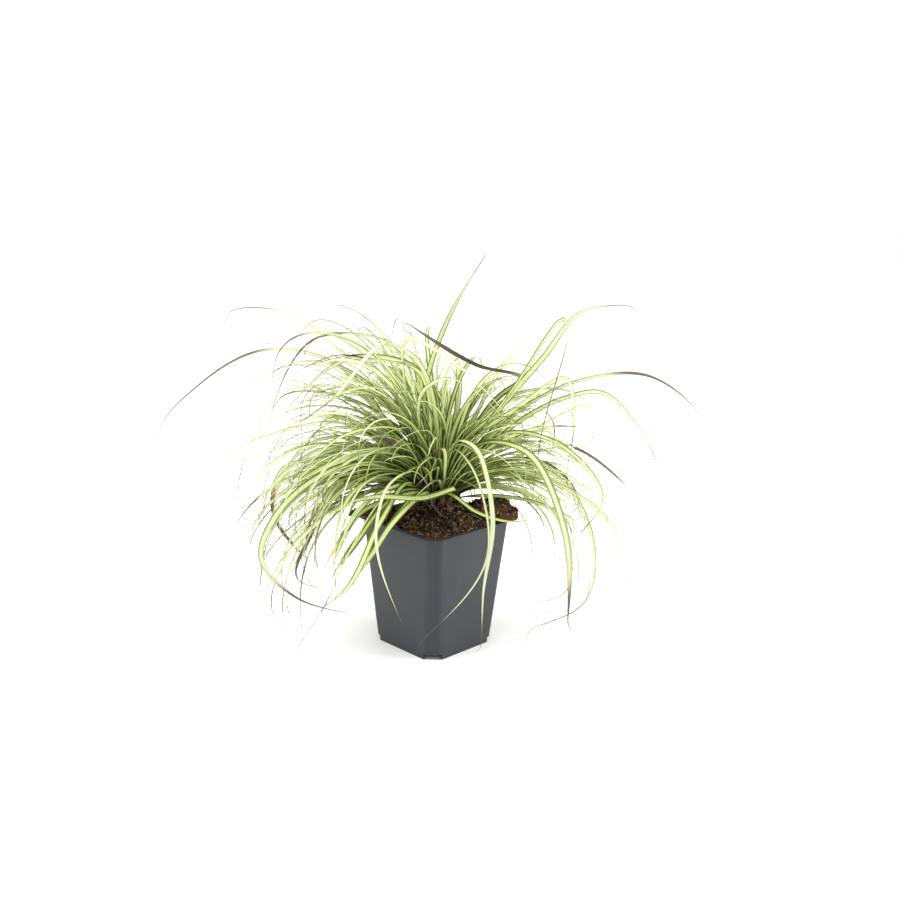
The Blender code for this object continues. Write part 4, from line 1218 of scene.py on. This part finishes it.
def peat_finish():
    """Dark crumbly peat with rusty and tan flecks, darkened round the crown by painted shade."""
    finish = Finish("peat", Roughness=0.96, Specular_IOR_Level=0.12)
    place = finish.place()
    coarse = finish.noise(place, 190.0, 5.0, 0.65)
    fine = finish.noise(place, 900.0, 4.0, 0.7)
    fleck, _ = finish.parts(finish.cells(place, 620.0))
    rust = finish.fade(finish.noise(place, 70.0, 2.0), 0.52, 0.64)
    clods = finish.fade(coarse, 0.38, 0.68)
    colour = finish.blend(clods, (0.005, 0.0035, 0.003), (0.068, 0.041, 0.027))
    colour = finish.blend(finish.fade(fine, 0.50, 0.72), colour, (0.16, 0.094, 0.057))
    colour = finish.blend(rust * 0.45, colour, (0.105, 0.036, 0.018))
    colour = finish.blend(finish.fade(fleck, 0.88, 0.93) * 0.8, colour, (0.26, 0.17, 0.105))
    x, y = finish.parts(place)
    reach = (x * x + y * y).math("SQRT")
    # Painted shade: the peat is darkened round the crown, under the blades
    crown_shade = 1.0 - finish.fade(reach + (coarse - 0.5) * 0.012, 0.014, 0.034)
    finish.feed("Base Color", finish.blend(crown_shade * 0.70, colour, (0.006, 0.004, 0.003)))
    finish.bump(coarse + fine * 0.6, 0.0012, 0.9)
    return finish.material


def crumb_finish():
    """Crumbs and fibres of peat and coir, each with its own brown."""
    finish = Finish("coir", Roughness=0.9, Specular_IOR_Level=0.15)
    tone, mark = finish.pair("kind")
    fine = finish.noise(finish.place(), 1400.0, 3.0)
    dark = finish.blend(mark, (0.009, 0.006, 0.005), (0.070, 0.034, 0.020))
    light = finish.blend(mark, (0.20, 0.10, 0.054), (0.42, 0.30, 0.20))
    colour = finish.blend(tone, dark, light)
    grit = finish.fade(fine, 0.4, 0.8) * 0.5
    finish.feed("Base Color", finish.blend(grit, colour, (0.05, 0.03, 0.02)))
    finish.bump(fine, 0.0003, 0.8)
    return finish.material


def perlite_finish():
    finish = Finish("perlite", Roughness=0.85)
    fine = finish.noise(finish.place(), 1800.0, 3.0)
    finish.feed("Base Color", finish.blend(fine, (0.55, 0.53, 0.48), (0.85, 0.84, 0.80)))
    finish.bump(fine, 0.0004, 0.8)
    return finish.material


def floor_finish():
    return Finish("pale_floor", Base_Color=(0.985, 0.985, 0.985, 1.0), Roughness=0.9).material


# Pieces


class Piece:
    """Points, faces and UV values of one finer piece while it is put together.

    OFBake unwraps the piece in strips side by side. The others tell a finish where it
    is: blade is the share across and the metres along, tone the share along and where
    brown begins, kind the paleness and a mark of the blade's own.
    """

    def __init__(self, name, strips=1, maps=("OFBake", "blade", "tone", "kind")):
        self.name = name
        self.points = []
        self.faces = []
        self.maps = {each: [] for each in maps}
        self.strips = strips
        self.strip = 0

    def corner(self, *values):
        """Give one corner of a face its value in each of the UV maps."""
        for kept, value in zip(self.maps.values(), values):
            kept.extend(value)

    def place(self, material, slot, nodes=(), sharp=None):
        """Make the object, ride it on the root body and give it its material."""
        mesh = mesh_of(self.name, self.points, self.faces)
        for name, values in self.maps.items():
            layer = mesh.uv_layers.new(name=name, do_init=False)
            layer.uv.foreach_set("vector", values)
        set_piece(self.name, mesh, material, nodes, sharp)


def set_piece(name, mesh, material, nodes=(), sharp=None):
    """Put a mesh on the root body, in place of the nodes, smooth up to an angle."""
    mesh.shade_smooth()
    if sharp:
        mesh.set_sharp_from_angle(angle=math.radians(sharp))
    mesh.materials.clear()
    mesh.materials.append(material)
    piece = in_scene(name, mesh)
    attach(piece, "root")
    if nodes:
        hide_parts(*nodes)


def in_room(point):
    """True within the CAD's box and a little over, and above the floor."""
    low = all(a > b - ROOM_OVER for a, b in zip(point, cad_low))
    high = all(a < b + ROOM_OVER for a, b in zip(point, cad_high))
    return low and high and point.z > OFF_FLOOR


def near_skin(point, skins, distance):
    return any(skin.find_nearest(point, distance)[0] is not None for skin in skins)


def ends_inside(blade):
    """True for a short blade whose tip stays near the crown."""
    tip = blade.line[-1]
    return blade.lead is None and tip.to_2d().length < INNER_REACH and tip.z < INNER_TOP


def tip_thread(blade, skins, draw):
    """Points of a thread that runs on from a blade's tip, drooping and curling."""
    if ends_inside(blade):
        return []
    ahead, side, _ = blade.frames[-1]
    at = blade.line[-1]
    wanted = draw.uniform(0.2, 1.0) * THREAD_LONGEST
    turn = draw.uniform(-THREAD_TURN, THREAD_TURN)
    curl = draw.uniform(0.00, THREAD_CURL) * draw.choice((-1.0, 1.0))
    line = []
    gone = 0.0
    while gone < wanted:
        spin = Matrix.Rotation(turn, 3, "Z") @ Matrix.Rotation(curl, 3, side)
        ahead = (spin @ ahead + Vector((0, 0, -THREAD_DROOP))).normalized()
        at = at + ahead * THREAD_STEP
        if not in_room(at) or near_skin(at, skins, THREAD_CLEAR):
            break
        line.append((at, ahead))
        gone += THREAD_STEP
        curl *= CURL_GROWTH
    return line


def leaf_rows(blade, thread, narrows_from):
    """Each row of a finer blade: centre, side, upper direction, width and hollow."""
    rows = []
    for i, centre in enumerate(blade.line):
        s = i / FINE_STEPS
        taper = mix(1.0, 0.10, ease(s, narrows_from, 1.04) ** 1.15)
        width = max(THREAD_WIDTH, blade.width * mix(0.50, 1.0, ease(s, 0.0, 0.26)) * taper)
        hollow = min(CHANNEL[0], width * CHANNEL[1]) * mix(1.0, 0.55, ease(s, 0.2, 0.9))
        foot_hollow = min(FOOT_CHANNEL[0], width * FOOT_CHANNEL[1])
        hollow = mix(foot_hollow, hollow, ease(s, 0.0, 0.12))
        _, side, up = blade.frames[i]
        rows.append((centre, side, up, width, hollow))
    _, side, up, last_width, hollow = rows[-1]
    for k, (centre, ahead) in enumerate(thread):
        share = (k + 1) / len(thread)
        side = (side - ahead * side.dot(ahead)).normalized()
        up = ahead.cross(side)
        width = mix(last_width, THREAD_END, share)
        rows.append((centre, side, up, width, hollow * (1.0 - share)))
    return rows


def channel_depth(u, hollow):
    """How far a blade's upper face lies under its margins, at a place across."""
    return hollow * (1.0 - abs(u) ** 1.3)


def add_leaf(piece, blade, thread, look):
    """Add one channelled blade with its thread tip to a piece."""
    brown_from, pale, narrows_from, mark = look
    rows = leaf_rows(blade, thread, narrows_from)
    first = len(piece.points)
    top = len(ACROSS)
    ring = top * 2 - 2
    metres = [0.0]
    for a, b in zip(rows, rows[1:]):
        metres.append(metres[-1] + (b[0] - a[0]).length)
    for centre, side, up, width, hollow in rows:
        sheet = min(SHEET, width * 0.30)
        for u in ACROSS:
            drop = channel_depth(u, hollow)
            piece.points.append(centre + side * (u * width / 2) - up * drop)
        for u in ACROSS[-2:0:-1]:
            drop = channel_depth(u, hollow) + sheet * (1.0 - u * u * 0.8)
            piece.points.append(centre + side * (u * width / 2) - up * drop)
    around = [(u + 1.0) / 2.0 for u in ACROSS + ACROSS[-2:0:-1]]
    blade_length = metres[FINE_STEPS]

    def corner(level, across, strip, along):
        piece.corner((strip / piece.strips, along), (across, metres[level]),
                     (metres[level] / blade_length, brown_from), (pale, mark))

    piece.faces.extend(bands(first, ring, len(rows)))
    for row in range(len(rows) - 1):
        for j in range(ring):
            k = (j + 1) % ring
            strip = piece.strip + (0.52 if j >= top - 1 else 0.02)
            for column, level in ((j, row), (k, row), (k, row + 1), (j, row + 1)):
                across = around[column]
                along = 0.002 + 0.996 * (metres[level] / metres[-1])
                corner(level, across, strip + across * 0.46, along)
    piece.faces.extend(ends(first, ring, len(rows)))
    for level, order in ((0, reversed(range(ring))), (len(rows) - 1, range(ring))):
        for j in order:
            corner(level, around[j], piece.strip + 0.01, 0.0)
    piece.strip += 1


def look_of(blade, draw, browns):
    """Where brown begins, paleness, where it narrows and a mark of its own."""
    mark = draw.random()
    brown = draw.uniform(*browns)
    pale = draw.uniform(0.0, 1.0)
    if blade.lead is not None:
        return (*blade.look, mark)
    if ends_inside(blade):
        brown = draw.uniform(1.02, 1.20)
        pale *= 0.35
    return brown, pale, NARROWS_FROM, mark


def place_shoots(tuft, skins, leaf, dry_leaf):
    """Finer blades for each shoot, along the same centre lines as the solids."""
    draw = random.Random(SHOOTS_SEED)
    green = len(stem_places())
    for shoot, blades in enumerate(tuft.blades):
        is_dry = shoot >= green
        node = "dry_shoot_%02d" % (shoot - green + 1) if is_dry else "shoot_%02d" % (shoot + 1)
        piece = Piece(node + "_leaves", len(blades))
        for blade in blades:
            blade.width *= NARROWER_BLADES.get(blade.lead, 1.0)
            if blade.lead in TURNED_BLADES:
                blade.frames = across_line(blade.line, TURNED_BLADES[blade.lead], 0.0)
            thread = tip_thread(blade, skins, draw)
            add_leaf(piece, blade, thread, look_of(blade, draw, BROWN_TIPS))
        if is_dry:
            piece.place(dry_leaf, "dry_leaf", [node], 60)
        else:
            piece.place(leaf, "sedge_leaf", [node], 60)


def place_sheaths(stems, finish):
    """Leaf bases wrapped round each stem, drawn in to ragged points."""
    draw = random.Random(SHEATHS_SEED)
    piece = Piece("crown_sheaths", len(stems))
    last = SHEATH_RINGS - 1
    for x, y, foot, home in stems:
        mark = draw.random()
        low = foot + 1 * MM
        high = foot + STEM_SUNK + STEM_TALL + draw.uniform(-1.0, 1.5) * MM
        first = len(piece.points)
        for level in range(SHEATH_RINGS):
            t = level / last
            reach = STEM_RADIUS * mix(1.08, 0.86, t) * (0.30 if level == last else 1.0)
            lean = home * (t * t * 3.0 * MM)
            for i in range(SHEATH_SIDES):
                angle = 2 * math.pi * i / SHEATH_SIDES
                fold = 1.0 + 0.10 * math.sin(angle * 3 + mark * 6) * t
                lift = 0.9 * MM * math.sin(angle * 2 + mark * 9) * t
                piece.points.append(Vector((
                    x + lean.x + reach * fold * math.cos(angle),
                    y + lean.y + reach * fold * math.sin(angle),
                    mix(low, high, t) + lift)))
        piece.faces.extend(bands(first, SHEATH_SIDES, SHEATH_RINGS))
        for level in range(last):
            for i in range(SHEATH_SIDES):
                for side, up in ((i, 0), (i + 1, 0), (i + 1, 1), (i, 1)):
                    t = (level + up) / last
                    across = side / SHEATH_SIDES
                    strip = (piece.strip + 0.02 + 0.96 * across) / piece.strips
                    piece.corner((strip, 0.01 + 0.98 * t), (across, t * 0.016),
                                 (t, mark), (0.0, mark))
        piece.faces.extend(ends(first, SHEATH_SIDES, SHEATH_RINGS))
        for t in (0.0, 1.0):
            for _ in range(SHEATH_SIDES):
                piece.corner(((piece.strip + 0.01) / piece.strips, 0.0), (0.0, 0.0),
                             (t, mark), (0.0, mark))
        piece.strip += 1
    piece.place(finish, "sedge_leaf", (), 50)


def place_fine_blades(tuft, skins, finish):
    """Thin young blades that fill the tuft between the solids' blades."""
    draw = random.Random(FINE_SEED)
    for name, count, view_bearing, spread, lengths, rises, falls, widths in FINE_GROUPS:
        browns = HANGING_BROWN if name.endswith("hanging") else FINE_BROWN
        piece = Piece(name, count)
        while piece.strip < count:
            bearing = math.radians(VIEW_RIGHT + view_bearing + draw.uniform(-spread, spread))
            shoot = nearest_shoot(tuft, bearing, draw)
            root = tuft.root(shoot, draw.random(), draw)
            rise = math.radians(draw.uniform(*rises))
            fall = math.radians(draw.uniform(*falls))
            line = grown_line(root, bearing, rise, fall, draw.uniform(*lengths) * CM,
                              draw.uniform(-1.3, 1.3), draw.uniform(0.8, 2.1),
                              draw.uniform(0, 1.3) * (draw.random() < 0.6))
            blade = Blade(line, draw.uniform(*widths) * MM, draw.uniform(0.0, 1.0),
                          draw.uniform(-0.8, 0.8))
            if all(in_room(point) for point in line) and not blade.meets(skins):
                thread = tip_thread(blade, skins, draw)
                add_leaf(piece, blade, thread, look_of(blade, draw, browns))
        piece.place(finish, "sedge_leaf", (), 60)


def place_drawn_blades(tuft, skins, finish):
    """Blades drawn through listed points: the thick group over the rim and the hanging wisps."""
    draw = random.Random(DRAWN_SEED)
    piece = Piece("drawn_blades", len(DRAWN_BLADES))
    for width, look, *points in DRAWN_BLADES:
        knots = [from_view(*point) for point in points]
        shoot = best_shoot(tuft, knots[0], range(len(stem_places())))
        for _ in range(DRAWN_TRIES):
            root = tuft.root(shoot, draw.random(), draw)
            route = [
                knot + Vector([draw.uniform(-DRAWN_NUDGE, DRAWN_NUDGE) * MM for _ in range(3)])
                for knot in knots
            ]
            line = drawn_line(root, leaving(tuft.stems[shoot], root, route[0]), route)
            roll = WIDE_ROLL if width > WIDE else draw.uniform(0.0, 0.6)
            blade = Blade(line, width * MM, roll, draw.uniform(-0.5, 0.5))
            if not blade.meets(skins):
                thread = tip_thread(blade, skins, draw)
                add_leaf(piece, blade, thread, (*look, draw.random()))
                break
    piece.place(finish, "sedge_leaf", (), 60)


def nearest_shoot(tuft, bearing, draw):
    """One of the shoots whose own lean is nearest a bearing, or now and then the middle one."""
    if draw.random() < MIDDLE_SHARE:
        return 0
    way = Vector((math.cos(bearing), math.sin(bearing), 0.0))
    shoots = range(1, len(stem_places()))
    order = sorted(shoots, key=lambda k: -way.dot(tuft.stems[k][3].to_2d().to_3d()))
    return draw.choice(order[:NEAR_SHOOTS])


# Pot


def rounded_ring(half, cut, z):
    """Square ring with cut corners, each of its eight edges rounded by an arc."""
    corners = cut_corners(half, cut, z)
    ring = []
    for i, corner in enumerate(corners):
        before = corner + (corners[i - 1] - corner).normalized() * POT_ROUNDING
        after = corner + (corners[(i + 1) % 8] - corner).normalized() * POT_ROUNDING
        for k in range(ARC_POINTS):
            t = k / (ARC_POINTS - 1)
            ring.append(before * (1 - t) ** 2 + corner * (2 * t * (1 - t)) + after * t ** 2)
    return ring


def place_pot(finish):
    """The pot with rounded corners and lip, its boss, ribs, drains and notches."""
    pot = rings_to_solid("pot_body", pot_rings(rounded_ring))
    add_supports(pot)
    cut_openings(pot)
    mesh = pot.data
    bpy.data.objects.remove(pot, do_unlink=True)
    set_piece("pot_body", mesh, finish, ["pot"], 32)


# Soil


def roughness_at(point, level):
    """Crumbly relief: clumps of a few millimetres, crumbs and short ridges.

    It is half as strong at the soil's edge, where it lies on the rim.
    """
    clump = noise.noise(point * 210)
    crumb = noise.noise(point * 640 + Vector((3, 1, 4)))
    ridge = 1.0 - abs(noise.noise(Vector((point.x * 900, point.y * 420, point.z * 420))))
    lift = (clump * 1.7 + crumb * 1.3 + (ridge - 0.8) * 1.1) * MM
    push = Vector((noise.noise(point * 300 + Vector((9, 0, 0))),
                   noise.noise(point * 300 + Vector((0, 9, 0))), 0.0)) * (0.8 * MM)
    strength = 1.0 if level >= FULLY_ROUGH_ROW else 0.5
    return push * strength + Vector((0, 0, lift * strength))


def place_soil(finish):
    """The soil's body with its crumbly top, and the tree that finds its surface."""
    shares = [1.0 - (k / FINE_RINGS) ** 1.15 for k in range(FINE_RINGS)]
    rings = soil_rings(FINE_TURNS, shares, roughness_at)
    middle = soil_middle()
    rings.append([middle + (point - middle) * 0.02 for point in rings[-1]])
    points, faces = closed_skin(rings)
    set_piece("soil_peat", mesh_of("soil_top", points, faces), finish, ["soil"])
    return BVHTree.FromPolygons(points, faces)


def on_soil(ground, x, y):
    """The soil's top at a place, or None outside it."""
    return ground.ray_cast(Vector((x, y, ABOVE_SOIL)), Vector((0, 0, -1)))[0]


def soil_spot(ground, draw):
    """A random place on the soil inside the rim or on a lump."""
    while True:
        bearing = draw.uniform(-math.pi, math.pi)
        over = lump_at(bearing)[1]
        reach = inner_radius(bearing, POT_HEIGHT, 1.2 * MM) + over
        reach *= math.sqrt(draw.uniform(0.03, 1))
        at = on_soil(ground, reach * math.cos(bearing), reach * math.sin(bearing))
        if at is not None and at.z > LOWEST_CRUMB:
            return at


# A ball of twenty triangles, from which crumbs and grains are made
BALL = ((0, 0, 1), (0.894, 0, 0.447), (0.276, 0.851, 0.447), (-0.724, 0.526, 0.447),
        (-0.724, -0.526, 0.447), (0.276, -0.851, 0.447), (0.724, 0.526, -0.447),
        (-0.276, 0.851, -0.447), (-0.894, 0, -0.447), (-0.276, -0.851, -0.447),
        (0.724, -0.526, -0.447), (0, 0, -1))
BALL_FACES = ((0, 1, 2), (0, 2, 3), (0, 3, 4), (0, 4, 5), (0, 5, 1), (1, 6, 2), (2, 7, 3),
              (3, 8, 4), (4, 9, 5), (5, 10, 1), (6, 7, 2), (7, 8, 3), (8, 9, 4), (9, 10, 5),
              (10, 6, 1), (11, 7, 6), (11, 8, 7), (11, 9, 8), (11, 10, 9), (11, 6, 10))


def add_crumb(piece, at, size, kind, draw):
    """Add a small irregular lump with flat sides."""
    spin = Matrix.Rotation(draw.uniform(0, 6.3), 3, (draw.random(), draw.random(), 1.0))
    first = len(piece.points)
    stretch = (draw.uniform(0.6, 1.4), draw.uniform(0.6, 1.1), draw.uniform(0.4, 0.9))
    for corner in BALL:
        rough = draw.uniform(0.75, 1.2)
        out = Vector([c * s * rough for c, s in zip(corner, stretch)])
        piece.points.append(at + spin @ out * (size / 2))
    for face in BALL_FACES:
        piece.faces.append(tuple(first + i for i in face))
        piece.maps["kind"].extend(kind * len(face))


def place_crumbs(ground, crumb, white):
    """Loose crumbs of peat, and white grains here and there."""
    draw = random.Random(CRUMBS_SEED)
    crumbs = Piece("peat_crumbs", maps=("kind",))
    for _ in range(CRUMBS):
        at = soil_spot(ground, draw)
        size = (0.7 + 2.8 * draw.random() ** 2.2) * MM
        kind = (draw.random() ** 2, draw.random())
        add_crumb(crumbs, at + Vector((0, 0, size * 0.1)), size, kind, draw)
    crumbs.place(crumb, "peat", (), 30)
    bits = Piece("perlite_bits", maps=("kind",))
    spots = [soil_spot(ground, draw) for _ in range(PERLITE)]
    for right, towards in FRONT_SPECKS:
        spot = from_view(right, towards, 0)
        spots.append(on_soil(ground, spot.x, spot.y))
    for at in spots:
        size = draw.uniform(0.8, 1.7) * MM
        add_crumb(bits, at + Vector((0, 0, size * 0.2)), size, (1.0, 1.0), draw)
    bits.place(white, "peat", (), 30)


def place_fibres(ground, crumb):
    """Coir fibres that lie on the soil and bow up a little."""
    draw = random.Random(FIBRES_SEED)
    piece = Piece("coir_fibres", maps=("kind",))
    for _ in range(FIBRES):
        at = soil_spot(ground, draw)
        bearing = draw.uniform(0, 2 * math.pi)
        length = draw.uniform(3, 12) * MM
        radius = draw.uniform(0.12, 0.34) * MM
        bend = draw.uniform(-1.1, 1.1)
        bow = draw.uniform(0.1, 1.6) * MM
        kind = (draw.uniform(0.3, 1.0), draw.random())
        x, y = at.x, at.y
        line = []
        for k in range(FIBRE_STEPS + 1):
            t = k / FIBRE_STEPS
            found = on_soil(ground, x, y)
            if found is None or found.z < LOWEST_CRUMB:
                break
            line.append(found + Vector((0, 0, radius + bow * math.sin(math.pi * t))))
            way = bearing + bend * t
            x += math.cos(way) * length / FIBRE_STEPS
            y += math.sin(way) * length / FIBRE_STEPS
        if len(line) > 3:
            add_fibre(piece, line, radius, kind)
    piece.place(crumb, "peat", (), 80)


def add_fibre(piece, line, radius, kind):
    """Add one square fibre along a line, thinner at both of its ends."""
    first = len(piece.points)
    last = len(line) - 1
    for i, at in enumerate(line):
        ahead = (line[min(i + 1, last)] - line[max(i - 1, 0)]).normalized()
        side = ahead.cross(Vector((0, 0, 1))).normalized()
        up = side.cross(ahead)
        thin = radius * (0.5 if i in (0, last) else 1.0)
        for k in range(FIBRE_SIDES):
            angle = math.pi / 2 * k
            piece.points.append(at + (side * math.cos(angle) + up * math.sin(angle)) * thin)
    for face in bands(first, FIBRE_SIDES, len(line)) + ends(first, FIBRE_SIDES, len(line)):
        piece.faces.append(face)
        piece.maps["kind"].extend(kind * len(face))


# Stage, light and camera


def place_floor():
    half = FLOOR_HALF
    corners = [(-half, -half, 0), (half, -half, 0), (half, half, 0), (-half, half, 0)]
    mesh = mesh_of("floor", corners, [(0, 1, 2, 3)])
    mesh.materials.append(floor_finish())
    in_scene("floor", mesh)


def soft_light(name, at, size, power):
    """A round soft lamp that points at the tuft."""
    lamp = bpy.data.lights.new(name, "AREA")
    lamp.shape = "DISK"
    lamp.size = size
    lamp.energy = power
    lamp.color = (1.0, 1.0, 1.0)
    holder = in_scene(name, lamp)
    holder.location = from_view(*at)
    holder.rotation_mode = "QUATERNION"
    holder.rotation_quaternion = (LIT_POINT - holder.location).to_track_quat("-Z", "Y")


def light_room():
    """White surroundings, a soft box on either side and one above."""
    world = bpy.data.worlds.new("white_studio")
    bpy.context.scene.world = world
    world.use_nodes = True
    sky = world.node_tree.nodes["Background"]
    sky.inputs["Color"].default_value = (1.0, 1.0, 1.0, 1.0)
    sky.inputs["Strength"].default_value = WORLD_STRENGTH
    for name, at, size, power in LIGHTS:
        soft_light(name, at, size, power)
    bpy.context.scene.view_settings.view_transform = "Standard"
    bpy.context.scene.view_settings.exposure = EXPOSURE


def place_camera():
    """The camera, turned as it was in the photograph."""
    right = from_view(1, 0, 0).normalized()
    back = from_view(*CAMERA_BACK).normalized()
    up = from_view(*CAMERA_UP).normalized()
    x = right * math.cos(CAMERA_ROLL) + up * math.sin(CAMERA_ROLL)
    y = up * math.cos(CAMERA_ROLL) - right * math.sin(CAMERA_ROLL)
    lens = bpy.data.cameras.new("camera")
    lens.lens = CAMERA_LENS
    lens.sensor_width = CAMERA_SENSOR
    lens.clip_start = CAMERA_NEAREST
    camera = in_scene("camera", lens)
    turned = Matrix((x, y, back)).transposed().to_4x4()
    camera.matrix_world = Matrix.Translation(from_view(*CAMERA_AT)) @ turned
    bpy.context.scene.camera = camera


def main():
    draw = random.Random(SEED)
    stems = stem_places() + dry_places()
    skins = walls()
    tuft = grow_tuft(stems, skins, draw)
    leaf = leaf_finish()
    place_shoots(tuft, skins, leaf, dry_leaf_finish())
    place_sheaths(stems, sheath_finish())
    place_fine_blades(tuft, skins, leaf)
    place_drawn_blades(tuft, skins, leaf)
    place_pot(pot_finish())
    ground = place_soil(peat_finish())
    crumb = crumb_finish()
    place_crumbs(ground, crumb, perlite_finish())
    place_fibres(ground, crumb)
    place_floor()
    light_room()
    place_camera()


main()
